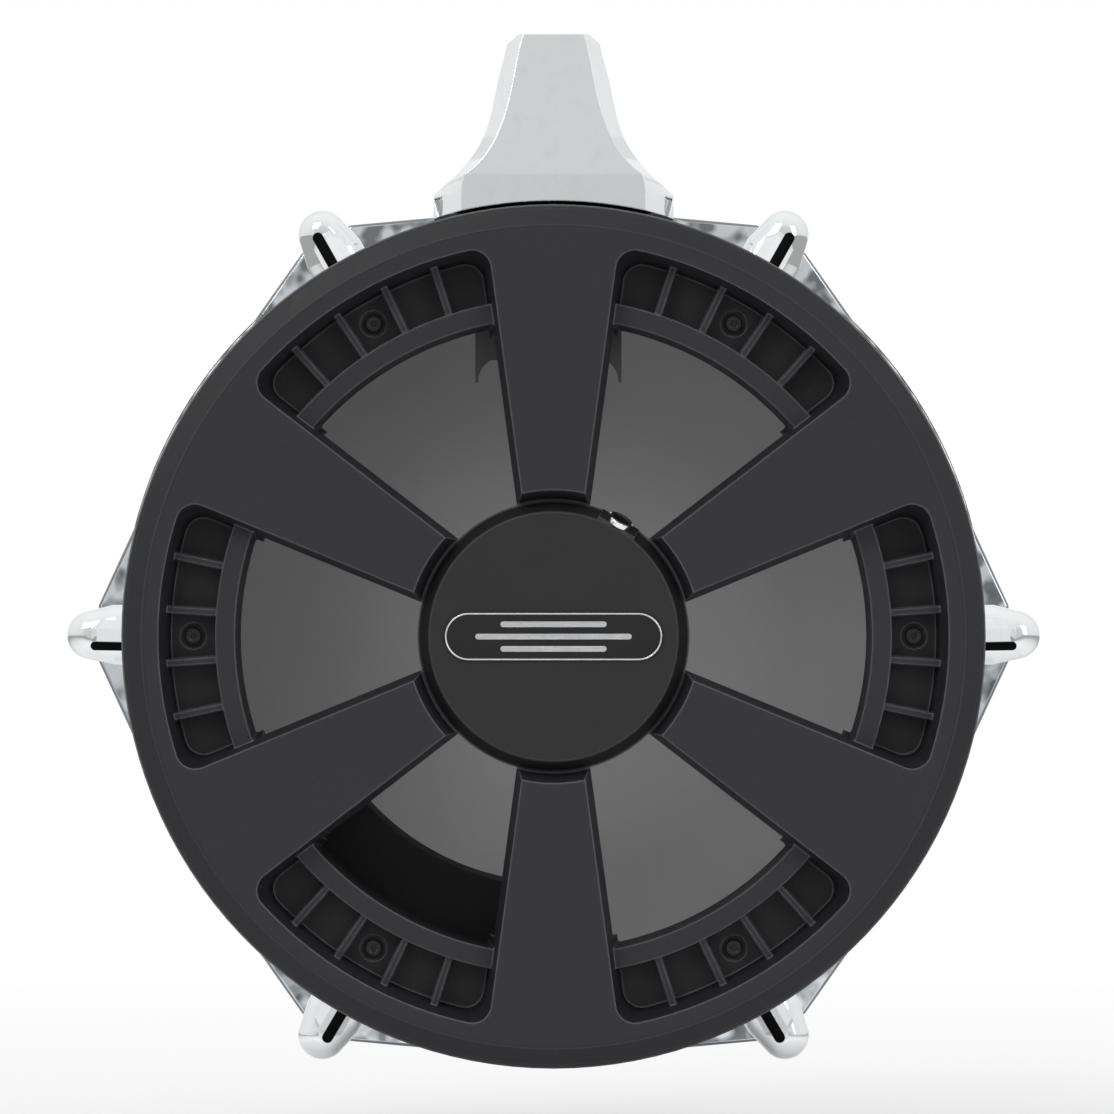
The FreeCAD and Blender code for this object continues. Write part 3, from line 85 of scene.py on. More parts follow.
class Graph:
    """The shader nodes of a material or of the world, under construction."""

    def __init__(self, owner):
        owner.use_nodes = True
        self.tree = owner.node_tree
        self.tree.nodes.clear()

    def add(self, kind, inputs=None, **settings):
        node = self.tree.nodes.new("ShaderNode" + kind)
        for key, value in settings.items():
            setattr(node, key, value)
        for key, value in (inputs or {}).items():
            if isinstance(value, bpy.types.NodeSocket):
                self.tree.links.new(value, node.inputs[key])
            else:
                node.inputs[key].default_value = value
        return node

    def ramp(self, value, low, high, to_low=0.0, to_high=1.0):
        inputs = {"Value": value, "From Min": low, "From Max": high, "To Min": to_low,
                  "To Max": to_high}
        return self.add("MapRange", inputs).outputs[0]

    def mixed(self, share, first, second):
        """The first shader, going to the second as share goes to 1."""
        return self.add("MixShader", {0: share, 1: first, 2: second}).outputs[0]


class Look(Graph):
    """A material. Lengths are in millimetres."""

    def __init__(self, name):
        self.material = bpy.data.materials.new(name)
        super().__init__(self.material)
        where = self.add("TexCoord").outputs["Object"]
        self.mm = self.add("VectorMath", {0: where, "Scale": 1 / MM}, operation="SCALE").outputs[0]

    def math(self, operation, a, b=0.0, clamp=False):
        return self.add("Math", {0: a, 1: b}, operation=operation, use_clamp=clamp).outputs[0]

    def times(self, first, *others):
        """The product of two or more values."""
        for other in others:
            first = self.math("MULTIPLY", first, other)
        return first

    def plus(self, first, *others):
        """The sum of two or more values."""
        for other in others:
            first = self.math("ADD", first, other)
        return first

    def dot(self, a, b):
        return self.add("VectorMath", {0: a, 1: b}, operation="DOT_PRODUCT").outputs["Value"]

    def hypotenuse(self, a, b):
        squares = [self.math("POWER", side, 2.0) for side in (a, b)]
        return self.math("SQRT", self.plus(*squares))

    def place(self):
        """The point's x, y and z."""
        return self.add("SeparateXYZ", {0: self.mm}).outputs

    def from_behind(self):
        """1 where the viewer is behind the drum, near its axis."""
        towards_viewer = self.add("NewGeometry").outputs["Incoming"]
        return self.ramp(self.dot(towards_viewer, REARWARDS), 0.9, 0.97)

    def rearward_tilt(self):
        """1 on a face that looks straight to the rear, 0 on one that looks sideways."""
        return self.dot(self.add("NewGeometry").outputs["Normal"], REARWARDS)

    def noise(self, size, detail=2.0, roughness=0.5, vector=None):
        """Noise whose lumps are about size across."""
        inputs = {"Vector": vector or self.mm, "Scale": 1 / size, "Detail": detail,
                  "Roughness": roughness}
        return self.add("TexNoise", inputs).outputs[0]

    def cells(self, size, feature="F1"):
        inputs = {"Vector": self.mm, "Scale": 1 / size}
        return self.add("TexVoronoi", inputs, feature=feature).outputs["Distance"]

    def stretched(self, x, y, z):
        """Coordinates scaled per axis, for streaks and brushing."""
        return self.add("VectorMath", {0: self.mm, 1: (x, y, z)}, operation="MULTIPLY").outputs[0]

    def mix(self, share, a, b):
        """Colour a, going to colour b as share goes to 1."""
        node = self.add("Mix", {0: share}, data_type="RGBA")
        for index, colour in ((6, a), (7, b)):
            if isinstance(colour, bpy.types.NodeSocket):
                self.tree.links.new(colour, node.inputs[index])
            else:
                node.inputs[index].default_value = (*colour, 1.0)
        return node.outputs[2]

    def bevel(self, radius):
        return self.add("Bevel", {"Radius": radius * MM}, samples=4).outputs[0]

    def edges(self, rounded):
        """A mask that is 1 on edges, from the difference between the rounded and the true normal."""
        flat = self.add("NewGeometry").outputs["Normal"]
        return self.ramp(self.dot(rounded, flat), 0.998, 0.88)

    def bump(self, height, depth, normal=None):
        inputs = {"Height": height, "Distance": depth * MM, "Strength": 1.0}
        if normal is not None:
            inputs["Normal"] = normal
        return self.add("Bump", inputs).outputs[0]

    def surface(self, colour, roughness, normal=None, **inputs):
        """The principled shader; other inputs are named with _ for each space."""
        plain = not isinstance(colour, bpy.types.NodeSocket)
        values = {"Base Color": (*colour, 1.0) if plain else colour, "Roughness": roughness}
        values.update({key.replace("_", " "): value for key, value in inputs.items()})
        if normal is not None:
            values["Normal"] = normal
        return self.add("BsdfPrincipled", values).outputs[0]

    def done(self, shader):
        self.add("OutputMaterial", {"Surface": shader})
        return self.material


def scaled(colour, factor):
    return tuple(c * factor for c in colour)


# ---------------------------------------------------------------- materials


BLACK = (0.0, 0.0, 0.0)
EDGE_HIGHLIGHT = 8.0  # painted highlight: how much lighter a moulded edge is painted than its face
# painted highlight colour for the rear frame's outer lip
LIP_HIGHLIGHT = (0.14, 0.14, 0.145)


def grained_plastic(name, colour, grain, depth, roughness, edge_radius=0.5, specular=0.35,
                    recess=None, rim=None):
    """Moulded plastic with a leather grain, painted highlights on its edges and faint handling marks.

    recess is (y, y, share): painted shade, the tone falls to share between the two depths from the rear
    face.
    rim is (r, r, share): the same painted shade between two distances from the drum's axis; rim also brings
    the painted highlight of lip_highlight."""
    look = Look(name)
    rounded = look.bevel(edge_radius)
    cells = look.ramp(look.cells(grain, "SMOOTH_F1"), 0.1, 0.7)
    fine = look.noise(grain * 0.35, 3.0)
    height = look.plus(cells, look.times(fine, 0.35))
    mottle = look.noise(40.0, 4.0, 0.6)
    tone = look.mix(mottle, scaled(colour, 0.85), scaled(colour, 1.15))
    tone = look.mix(look.times(cells, 0.35), tone, scaled(colour, 0.7))
    x, y, z = look.place()
    # painted shade: darker towards the pocket floors and on the sloping rim
    if recess:
        start, end, share = recess
        tone = look.mix(look.ramp(y, start, end, 0.0, 1.0 - share), tone, BLACK)
    if rim:
        start, end, share = rim
        radius = look.hypotenuse(x, z)
        tone = look.mix(look.ramp(radius, start, end, 0.0, 1.0 - share), tone, BLACK)
    # painted highlight: the moulded edges are painted lighter, broken up by noise
    painted_edge_highlight = look.times(look.edges(rounded), look.ramp(look.noise(3.0, 3.0), 0.2, 0.8, 0.7, 1.0))
    tone = look.mix(painted_edge_highlight, tone, scaled(colour, EDGE_HIGHLIGHT))
    # painted highlight along the rear frame's outer lip
    if rim:
        tone = look.mix(lip_highlight(look), tone, LIP_HIGHLIGHT)
    marks = look.ramp(look.noise(9.0, 6.0, 0.7, look.stretched(1.0, 1.0, 0.25)), 0.55, 0.75)
    dull = look.ramp(mottle, 0.3, 0.7, roughness - 0.03, roughness + 0.05)
    rough = look.math("SUBTRACT", dull, look.times(marks, 0.05))
    grained = look.bump(height, depth, rounded)
    return look.done(look.surface(tone, rough, grained, Specular_IOR_Level=specular))


def lip_highlight(look):
    """Where the rear frame's outer lip gets a painted highlight: most at the sides and upper left, least at
    the bottom.
    """
    x, y, z = look.place()
    radius = look.hypotenuse(x, z)
    across = look.math("DIVIDE", x, radius)
    up = look.math("DIVIDE", z, radius)
    share = look.plus(look.times(look.math("ABSOLUTE", across), 0.55), look.times(across, -0.2),
                      look.times(up, 0.25))
    share = look.math("ADD", share, 0.1, clamp=True)
    highlight_breakup = look.ramp(look.noise(4.0, 3.0), 0.2, 0.8, 0.6, 1.0)
    outside = look.ramp(radius, FRAME_LIP_R, FRAME_LIP_R + 0.5)
    near_rear = look.ramp(y, FRAME_LIP_DEPTH + 2.0, FRAME_LIP_DEPTH)
    return look.times(share, highlight_breakup, outside, near_rear)


def gloss_plastic(name, colour, roughness=0.12):
    """Polished black plastic with a faint haze and a few specks of dust."""
    look = Look(name)
    rounded = look.bevel(0.25)
    haze = look.noise(6.0, 5.0, 0.65)
    specks = look.ramp(look.cells(2.5), 0.06, 0.02)
    rough = look.plus(look.ramp(haze, 0.3, 0.8, roughness * 0.6, roughness * 1.6),
                      look.times(specks, 0.2))
    tone = look.mix(look.times(haze, 0.4), colour, scaled(colour, 1.6))
    return look.done(look.surface(tone, rough, look.bump(haze, 0.004, rounded)))


def chrome(name, colour, roughness=0.05, wave=14.0, wave_depth=0.02, wave_detail=2.0, flag=False,
           patches=None):
    """Polished plating with a faint waviness, smudges and hairline scratches.

    flag adds the black stripe of painted_lug_reflection, a painted reflection; patches is the size of the
    lumps of painted_room_reflection, also a painted reflection."""
    look = Look(name)
    rounded = look.bevel(0.6)
    waves = look.noise(wave, wave_detail)
    smudge = look.ramp(look.noise(5.0, 6.0, 0.7), 0.5, 0.8)
    scratches = look.ramp(look.noise(0.7, 2.0, 0.5, look.stretched(1.0, 0.08, 1.0)), 0.68, 0.75)
    rough = look.plus(look.times(smudge, 0.05), look.times(scratches, 0.04), roughness)
    tone = look.mix(smudge, colour, scaled(colour, 0.94))
    # painted reflection: the plating is painted darker where it would mirror the room
    if patches:
        tone = look.mix(painted_room_reflection(look, patches), tone, scaled(colour, 0.3))
    metal = look.surface(tone, rough, look.bump(waves, wave_depth, rounded), Metallic=1.0)
    # painted reflection: a black stripe is mixed in on the lugs' tongues
    if flag:
        black = look.add("BsdfDiffuse", {"Color": (0.006, 0.006, 0.006, 1.0)}).outputs[0]
        metal = look.mixed(painted_lug_reflection(look), metal, black)
    return look.done(metal)


def mirrored_way(look):
    """The direction a mirror at this point shows, as a unit vector."""
    geometry = look.add("NewGeometry").outputs
    towards_viewer, normal = geometry["Incoming"], geometry["Normal"]
    back = look.add("VectorMath", {0: towards_viewer, 1: normal}, operation="REFLECT").outputs[0]
    return look.add("VectorMath", {0: back, "Scale": -1.0}, operation="SCALE").outputs[0]


def painted_room_reflection(look, size):
    """Painted reflection: dark patches painted where plating facing the rear would mirror the room, and on
    its rounded edges, seen from behind.
    """
    lumps = look.ramp(look.noise(size, 1.0, 0.4), 0.42, 0.62)
    facing = look.ramp(look.dot(mirrored_way(look), REARWARDS), 0.97, 0.99)
    tilt = look.rearward_tilt()
    rounding = look.times(look.ramp(tilt, 0.99, 0.93), look.ramp(tilt, 0.0, 0.2))
    outline = look.times(rounding, look.from_behind())
    return look.math("MAXIMUM", look.times(lumps, facing), outline)


STRIPE_END_R = 167.6  # on the level lugs
STRIPE_ASIDE = 4.0
STRIPE_HALF_WIDTH = 1.65


def painted_lug_reflection(look):
    """Where a lug's tongue shows a painted reflection of a black studio flag: the bevel on its lower side,
    seen from behind.

    The stripe lies along the lug, with a round outer end. On the steep lugs it is a little longer, wider and
    nearer the lug's middle."""
    x, _, z = look.place()
    step = math.radians(LUG_STEP)
    station = look.math("ROUND", look.math("DIVIDE", look.math("ARCTAN2", z, x), step))
    angle = look.times(station, step)
    cos, sin = look.math("COSINE", angle), look.math("SINE", angle)
    steep = look.math("ABSOLUTE", sin)
    side_x = look.times(look.math("SIGN", cos), sin)
    side_z = look.times(look.math("ABSOLUTE", cos), -1.0)
    outwards = look.add("CombineXYZ", {0: cos, 1: 0.0, 2: sin}).outputs[0]
    downwards = look.add("CombineXYZ", {0: side_x, 1: 0.0, 2: side_z}).outputs[0]
    end = look.plus(look.times(steep, 1.27), STRIPE_END_R)
    beyond = look.math("MAXIMUM", look.math("SUBTRACT", look.dot(look.mm, outwards), end), 0.0)
    middle = look.plus(look.times(steep, -2.3), STRIPE_ASIDE)
    aside = look.math("SUBTRACT", look.dot(look.mm, downwards), middle)
    reach = look.math("SUBTRACT", look.hypotenuse(beyond, aside), look.times(steep, 0.4))
    inside = look.ramp(reach, STRIPE_HALF_WIDTH + 0.1, STRIPE_HALF_WIDTH - 0.1)
    to_rear = look.ramp(look.rearward_tilt(), 0.2, 0.3)
    return look.times(inside, look.from_behind(), to_rear)


def brushed_metal(name, colour, roughness, streak=(1.0, 1.0, 0.05)):
    """Metal with fine lines along the axis whose streak is small, a light stain and a painted highlight on
    its edges.
    """
    look = Look(name)
    rounded = look.bevel(0.2)
    lines = look.noise(0.35, 2.0, 0.5, look.stretched(*streak))
    stain = look.noise(8.0, 4.0, 0.6)
    tone = look.mix(stain, scaled(colour, 0.75), colour)
    # painted highlight: the edges are painted a quarter lighter than the face
    tone = look.mix(look.times(look.edges(rounded), 0.4), tone, scaled(colour, 1.25))
    rough = look.ramp(lines, 0.3, 0.7, roughness - 0.08, roughness + 0.1)
    return look.done(look.surface(tone, rough, look.bump(lines, 0.01, rounded), Metallic=1.0))


def oxide_steel(name):
    """Black oxide on a screw: dark, a little oily, with a painted highlight on its edges."""
    look = Look(name)
    rounded = look.bevel(0.25)
    oil = look.noise(1.2, 4.0, 0.6)
    # painted highlight: the edges of the head are painted light grey
    painted_edge_highlight = look.times(look.edges(rounded), look.ramp(look.noise(0.8, 3.0), 0.25, 0.6))
    tone = look.mix(oil, (0.012, 0.012, 0.013), (0.03, 0.03, 0.032))
    tone = look.mix(painted_edge_highlight, tone, (0.42, 0.42, 0.42))
    rough = look.ramp(oil, 0.3, 0.7, 0.25, 0.45)
    return look.done(look.surface(tone, rough, look.bump(oil, 0.01, rounded), Metallic=0.6))


def rubber(name, colour, grain=0.5):
    """Matt rubber with a fine grain and patches of dust."""
    look = Look(name)
    rounded = look.bevel(0.4)
    fine = look.noise(grain, 4.0, 0.6)
    dust = look.ramp(look.noise(20.0, 5.0, 0.6), 0.45, 0.8)
    tone = look.mix(look.times(dust, 0.5), colour, scaled(colour, 1.9))
    rough = look.ramp(fine, 0.3, 0.7, 0.62, 0.8)
    return look.done(look.surface(tone, rough, look.bump(fine, 0.03, rounded)))


def foam(name, colour):
    """Closed-cell foam: small open pores on a dull skin."""
    look = Look(name)
    pores = look.ramp(look.cells(0.9), 0.05, 0.4)
    tone = look.mix(pores, scaled(colour, 0.35), colour)
    return look.done(look.surface(tone, 0.92, look.bump(pores, 0.25)))


def lacquered_wood(name):
    """Black lacquer outside; the bare plies show on the bearing edge and the inner wall is dark stained."""
    look = Look(name)
    grain = look.noise(1.4, 5.0, 0.65, look.stretched(1.0, 0.08, 1.0))
    x, y, z = look.place()
    radius = look.hypotenuse(x, z)
    one_mm_plies = look.math("FRACT", radius)
    ply = look.mix(look.ramp(one_mm_plies, 0.46, 0.54), (0.36, 0.22, 0.1), (0.24, 0.13, 0.055))
    inside = look.mix(grain, (0.014, 0.012, 0.011), (0.03, 0.026, 0.024))
    outside = look.mix(grain, (0.008, 0.008, 0.009), (0.014, 0.014, 0.015))
    skin = look.mix(look.ramp(radius, STAIN_R, STAIN_R + 0.15), inside, outside)
    edge = look.ramp(y, BEARING_EDGE_Y, BEARING_EDGE_Y + 0.4)
    tone = look.mix(look.times(edge, look.ramp(radius, STAIN_R + 0.15, STAIN_R)), skin, ply)
    rough = look.ramp(radius, STAIN_R, STAIN_R + 0.15, 0.6, 0.14)
    return look.done(look.surface(tone, rough, look.bump(grain, 0.02), Coat_Weight=0.3))


def woven_mesh(name):
    """Two-ply woven mesh: threads both ways, light coming through from the playing side.

    The light through it is painted: brighter near the middle and towards the lower right, seen from behind."""
    look = Look(name)
    x, _, z = look.place()
    threads = []
    for across, along in ((x, z), (z, x)):
        thread = look.math("COSINE", look.times(across, 2 * math.pi / WEAVE))
        crimp = look.math("SINE", look.times(along, math.pi / WEAVE))
        threads.append(look.times(look.plus(look.times(thread, 0.5), 0.5),
                                  look.plus(look.times(crimp, 0.25), 0.75)))
    weave = look.math("MAXIMUM", threads[0], threads[1])
    # painted light: the light through the mesh is painted brighter near the middle and towards the lower
    # right
    painted_centre_light = look.ramp(look.hypotenuse(x, z), 45.0, 90.0, 1.0, 0.86)
    uneven = look.ramp(look.noise(60.0, 3.0, 0.5), 0.2, 0.8, 0.97, 1.03)
    painted_lower_right_light = look.ramp(look.math("SUBTRACT", x, z), -150.0, 150.0, 0.87, 1.13)
    light = look.mix(look.times(painted_centre_light, uneven, painted_lower_right_light), BLACK, (0.66, 0.66, 0.66))
    tone = look.mix(weave, (0.2, 0.2, 0.205), (0.30, 0.30, 0.305))
    front = look.add("BsdfDiffuse", {"Color": tone, "Normal": look.bump(weave, 0.12)}).outputs[0]
    through = look.add("BsdfTranslucent", {"Color": light}).outputs[0]
    return look.done(look.mixed(0.62, front, through))


def circuit_board(name):
    """Green board: copper tracks that follow the contours of a noise, over a glass weave."""
    look = Look(name)
    weave = look.noise(0.5, 2.0, 0.5, look.stretched(1.0, 1.0, 3.0))
    contours = look.math("FRACT", look.times(look.noise(9.0, 0.0), 14.0))
    tracks = look.ramp(look.math("ABSOLUTE", look.math("SUBTRACT", contours, 0.5)), 0.38, 0.42)
    tone = look.mix(tracks, (0.012, 0.09, 0.045), (0.03, 0.2, 0.1))
    height = look.plus(tracks, look.times(weave, 0.3))
    return look.done(look.surface(tone, 0.3, look.bump(height, 0.03)))


def speckled(name, colour, size, roughness):
    """A plain matt solid with fine speckle, for ceramic, nylon and the rod pocket, whose grey is lighter
    than the frame's plastic.
    """
    look = Look(name)
    grain = look.noise(size, 4.0, 0.6)
    tone = look.mix(grain, scaled(colour, 0.82), colour)
    rough = look.ramp(grain, 0.3, 0.7, roughness - 0.06, roughness + 0.06)
    return look.done(look.surface(tone, rough, look.bump(grain, 0.01, look.bevel(0.15))))


FRAME_RECESS = (12.0, 19.5, 0.38)  # the floors of the frame's pockets get less light than its face
FRAME_RIM = (146.3, 147.3, 0.66)  # the sloping rim gets less than the flat ring

LOOKS = {
    "shell_lacquer": lacquered_wood("shell_lacquer"),
    "frame_plastic": grained_plastic("frame_plastic", (0.0165, 0.0168, 0.0195), 0.85, 0.03, 0.52, 1.1,
                                     recess=FRAME_RECESS, rim=FRAME_RIM),
    "cap_plastic": grained_plastic("cap_plastic", (0.0125, 0.0125, 0.013), 0.6, 0.015, 0.5, 0.5),
    "badge_black": gloss_plastic("badge_black", (0.004, 0.004, 0.004)),
    "badge_silver": brushed_metal("badge_silver", (0.86, 0.87, 0.88), 0.22, (0.05, 1.0, 1.0)),
    "screw_black": oxide_steel("screw_black"),
    "zinc_steel": brushed_metal("zinc_steel", (0.62, 0.63, 0.65), 0.35),
    "jack_plastic": grained_plastic("jack_plastic", (0.014, 0.014, 0.014), 0.4, 0.01, 0.45, 0.2),
    "jack_chrome": chrome("jack_chrome", (0.88, 0.89, 0.9), 0.1),
    "contact_brass": brushed_metal("contact_brass", (0.72, 0.52, 0.24), 0.3),
    "board_green": circuit_board("board_green"),
    "connector_nylon": speckled("connector_nylon", (0.78, 0.75, 0.66), 0.8, 0.45),
    "inner_plastic": grained_plastic("inner_plastic", (0.0035, 0.0035, 0.0038), 1.1, 0.02, 0.6, 0.6,
                                     0.2),
    "pocket_plastic": speckled("pocket_plastic", (0.105, 0.105, 0.107), 1.0, 0.6),
    "foam": foam("foam", (0.045, 0.045, 0.05)),
    "sensor_steel": brushed_metal("sensor_steel", (0.6, 0.61, 0.62), 0.3, (0.05, 1.0, 1.0)),
    "piezo_brass": brushed_metal("piezo_brass", (0.78, 0.58, 0.26), 0.28, (0.05, 1.0, 1.0)),
    "piezo_ceramic": speckled("piezo_ceramic", (0.8, 0.78, 0.72), 0.3, 0.4),
    "cable_jacket": rubber("cable_jacket", (0.012, 0.012, 0.012), 0.25),
    "cast_chrome": chrome("cast_chrome", (0.88, 0.9, 0.9), 0.04, flag=True),
    "nut_brass": brushed_metal("nut_brass", (0.7, 0.52, 0.25), 0.32),
    "hoop_chrome": chrome("hoop_chrome", (0.8, 0.84, 0.87), 0.08, wave=9.0, wave_depth=0.25,
                          wave_detail=0.0, patches=6.5),
    "gasket_rubber": rubber("gasket_rubber", (0.01, 0.01, 0.01)),
    "rim_rubber": rubber("rim_rubber", (0.014, 0.014, 0.015), 0.7),
    "hoop_aluminium": brushed_metal("hoop_aluminium", (0.7, 0.71, 0.72), 0.35, (1.0, 0.05, 1.0)),
    "mesh_fabric": woven_mesh("mesh_fabric"),
    "jaw_zinc": brushed_metal("jaw_zinc", (0.52, 0.53, 0.55), 0.42),
}


def smooth(obj, angle=30.0):
    """Smooth shading, with edges sharper than the angle left sharp."""
    bpy.context.view_layer.objects.active = obj
    for other in bpy.context.selected_objects:
        other.select_set(False)
    obj.select_set(True)
    bpy.ops.object.shade_smooth_by_angle(angle=math.radians(angle))


OWN_LOOKS = {"rod_pocket": "pocket_plastic"}  # nodes that are lighter or darker than their slot


def paint_cad_nodes():
    for part in frame["record"]["subparts"]:
        obj = nodes[part["node"]]
        obj.data.materials.clear()
        obj.data.materials.append(LOOKS[OWN_LOOKS.get(part["node"], part["material_slot"])])


paint_cad_nodes()

# ---------------------------------------------------------------- soft pieces


def new_mesh(name, verts, faces, look):
    """A mesh object from points in millimetres."""
    data = bpy.data.meshes.new(name)
    data.from_pydata([Vector(v) * MM for v in verts], [], faces)
    data.materials.append(LOOKS[look])
    obj = bpy.data.objects.new(name, data)
    bpy.context.scene.collection.objects.link(obj)
    mesh = bmesh.new()
    mesh.from_mesh(data)
    bmesh.ops.remove_doubles(mesh, verts=mesh.verts, dist=1e-6)
    bmesh.ops.recalc_face_normals(mesh, faces=mesh.faces)
    mesh.to_mesh(data)
    mesh.free()
    smooth(obj)
    return obj


def lathe(name, profile, look, steps, ripple):
    """Turns a closed (radius, y) profile round the drum axis. ripple(r, y, angle) moves a point outwards."""
    verts, faces = [], []
    count = len(profile)
    for i in range(steps):
        turn = 2 * math.pi * i / steps
        for r, y in profile:
            grown = r + ripple(r, y, turn)
            verts.append((grown * math.cos(turn), y, grown * math.sin(turn)))
    for i in range(steps):
        a, b = i * count, (i + 1) % steps * count
        for k in range(count):
            m = (k + 1) % count
            faces.append((a + k, a + m, b + m, b + k))
    return new_mesh(name, verts, faces, look)


def arc(cx, cy, r, start, end, steps=6):
    """Points on an arc of a profile, from one angle to another."""
    turns = [math.radians(start + (end - start) * i / steps) for i in range(steps + 1)]
    return [(cx + r * math.cos(t), cy + r * math.sin(t)) for t in turns]


def finish_piece(piece, node, body="pad"):
    """Takes a CAD node's place by hiding the node, and joins the piece to the body. With no body, the piece
    is left unattached.
    """
    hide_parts(node)
    if body:
        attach(piece, body)


PLEAT_COUNT = 180
PLEAT_DEPTH = 0.16


def drum_head():
    """The mesh head: flat over the bearing edge, then down the pleated collar to its own hoop."""
    flat = [(r, HEAD_Y) for r in (0.0, 20.0, 40.0, 60.0, 80.0, 100.0, 120.0, 135.0, 145.0, 149.0)]
    turn_over = arc(HEAD_R, HEAD_Y - TURN_OVER_R, TURN_OVER_R, 90, 5, 8)
    collar = [(COLLAR_R, y) for y in (124.4, 123.4, 122.4, 121.4, 120.4, 119.4, 118.6)]
    outer = [(r + PLY, y) for r, y in reversed(collar)]
    outer += reversed(arc(HEAD_R, HEAD_Y - TURN_OVER_R, TURN_OVER_R + PLY, 90, 5, 8))
    outer += [(r, y + PLY) for r, y in reversed(flat)]

    def pleats(r, y, turn):
        drop = min(1.0, max(0.0, (127.4 - y) / 4.0))
        wobble = noise.noise(Vector((math.cos(turn) * 9.0, math.sin(turn) * 9.0, 0.3)))
        return PLEAT_DEPTH * drop * (math.sin(PLEAT_COUNT * turn) * 0.5 + wobble)

    head = lathe("head_mesh", flat + turn_over + collar + outer, "mesh_fabric", 720, pleats)
    finish_piece(head, "mesh_head", body=None)
    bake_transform(head)


def rim_cover():
    """Rubber over the hoop's lip: a round bead, with a moulded groove on each side below it."""
    bead = arc(158.1, 139.9, 4.7, 0, 180, 22)
    outer = [(157.5, 129.0), (162.0, 129.0), (162.75, 129.7), (162.8, 131.4), (162.3, 131.8),
             (162.3, 132.4), (162.8, 132.8), (162.8, 139.0)]
    inner = [(153.4, 138.8), (153.4, 134.0), (153.8, 133.6), (153.8, 133.0), (153.4, 132.6),
             (153.4, 130.3), (153.9, 129.8), (154.7, 129.8)]
    lip = [(154.7, 138.5), (160.4, 138.5), (160.4, 135.8), (157.5, 135.8)]

    def hand_fitted(r, y, turn):
        swell = 0.10 * noise.noise(Vector((math.cos(turn) * 2.5, math.sin(turn) * 2.5, y * 0.05)))
        return swell if y > 136.5 else 0.0

    cover = lathe("rim_cover", outer + bead + inner + lip, "rim_rubber", 360, hand_fitted)
    finish_piece(cover, "rim_rubber", body="hoop")


def foam_ripple(depth, scale):
    """An uneven foam skin, for lathe. The axis itself stays closed."""
    def ripple(r, y, turn):
        if r < 0.5:
            return 0.0
        point = Vector((r * math.cos(turn), y, r * math.sin(turn))) * scale
        return depth * noise.noise(point)
    return ripple


def foam_tower():
    """The foam cone that touches the head: cut foam with a slightly crushed tip and a soft foot."""
    foot = [(0.0, 102.3), (12.0, 102.3), (21.2, 102.3), (22.2, 103.0), (22.35, 105.0)]
    side = [(22.0 - 14.5 * t ** 0.92, 107.0 + 20.6 * t) for t in [i / 14 for i in range(15)]]
    tip = [(6.6, 127.75), (3.0, 127.8), (0.0, 127.8)]
    cone = lathe("foam_sensor_cone", foot + side + tip, "foam", 96, foam_ripple(0.35, 0.35))
    finish_piece(cone, "foam_cone")


def plate_cushion():
    """The foam ring under the sensor plate, squeezed so its sides bulge."""
    outer = [(25.4 + 0.9 * math.sin(math.pi * t), 97.1 + 3.8 * t) for t in [i / 8 for i in range(9)]]
    inner = [(14.9 - 0.4 * math.sin(math.pi * t), 100.9 - 3.8 * t) for t in [i / 8 for i in range(9)]]
    ring = lathe("sensor_plate_cushion", outer + inner, "foam", 96, foam_ripple(0.18, 0.5))
    finish_piece(ring, "sensor_cushion")


def polar(r, deg, y):
    """A point at a distance and an angle from the drum's axis."""
    turn = math.radians(deg)
    return (r * math.cos(turn), y, r * math.sin(turn))


SLAB_LEVELS = [(0.0, 0.0), (0.25, 0.35), (0.5, 0.5), (0.75, 0.35), (1.0, 0.0)]  # share through, bulge
CAP_RINGS = 48


def slab_on_shell(name, look, middle, r_in, r_out, half_angle, y0, y1, corner):
    """A soft sheet on the shell: rounded corners, its edges bulging a little where it is squeezed."""
    outline = []
    half = math.radians(half_angle) * r_out
    for cx, cy, start in ((half - corner, y1 - corner, 0), (corner - half, y1 - corner, 90),
                          (corner - half, y0 + corner, 180), (half - corner, y0 + corner, 270)):
        outline += arc(cx, cy, corner, start, start + 90, 5)
    verts, faces = [], []
    total = len(outline)
    centre_y = (y0 + y1) / 2
    for share, bulge in SLAB_LEVELS:
        r = r_in + share * (r_out - r_in)
        for s, y in outline:
            grow = 1 + bulge / math.hypot(s, y - centre_y)
            deg = middle + math.degrees(s * grow / r_out)
            verts.append(polar(r, deg, centre_y + (y - centre_y) * grow))
    last = len(SLAB_LEVELS) - 1
    for level in range(last):
        a, b = level * total, (level + 1) * total
        for k in range(total):
            m = (k + 1) % total
            faces.append((a + k, a + m, b + m, b + k))
    for r, base in ((r_in, 0), (r_out, last * total)):
        close_side(verts, faces, outline, base, middle, r, r_out, centre_y)
    return new_mesh(name, verts, faces, look)


def close_side(verts, faces, outline, base, middle, r, r_scale, centre_y):
    """Closes one side of a slab with rings that shrink to its centre, so that it follows the shell."""
    total = len(outline)
    before = base
    for ring in range(1, CAP_RINGS):
        share = 1 - ring / CAP_RINGS
        start = len(verts)
        for s, y in outline:
            deg = middle + math.degrees(s * share / r_scale)
            verts.append(polar(r, deg, centre_y + (y - centre_y) * share))
        for k in range(total):
            m = (k + 1) % total
            faces.append((before + k, before + m, start + m, start + k))
        before = start
    verts.append(polar(r, middle, centre_y))
    for k in range(total):
        faces.append((before + k, before + (k + 1) % total, len(verts) - 1))


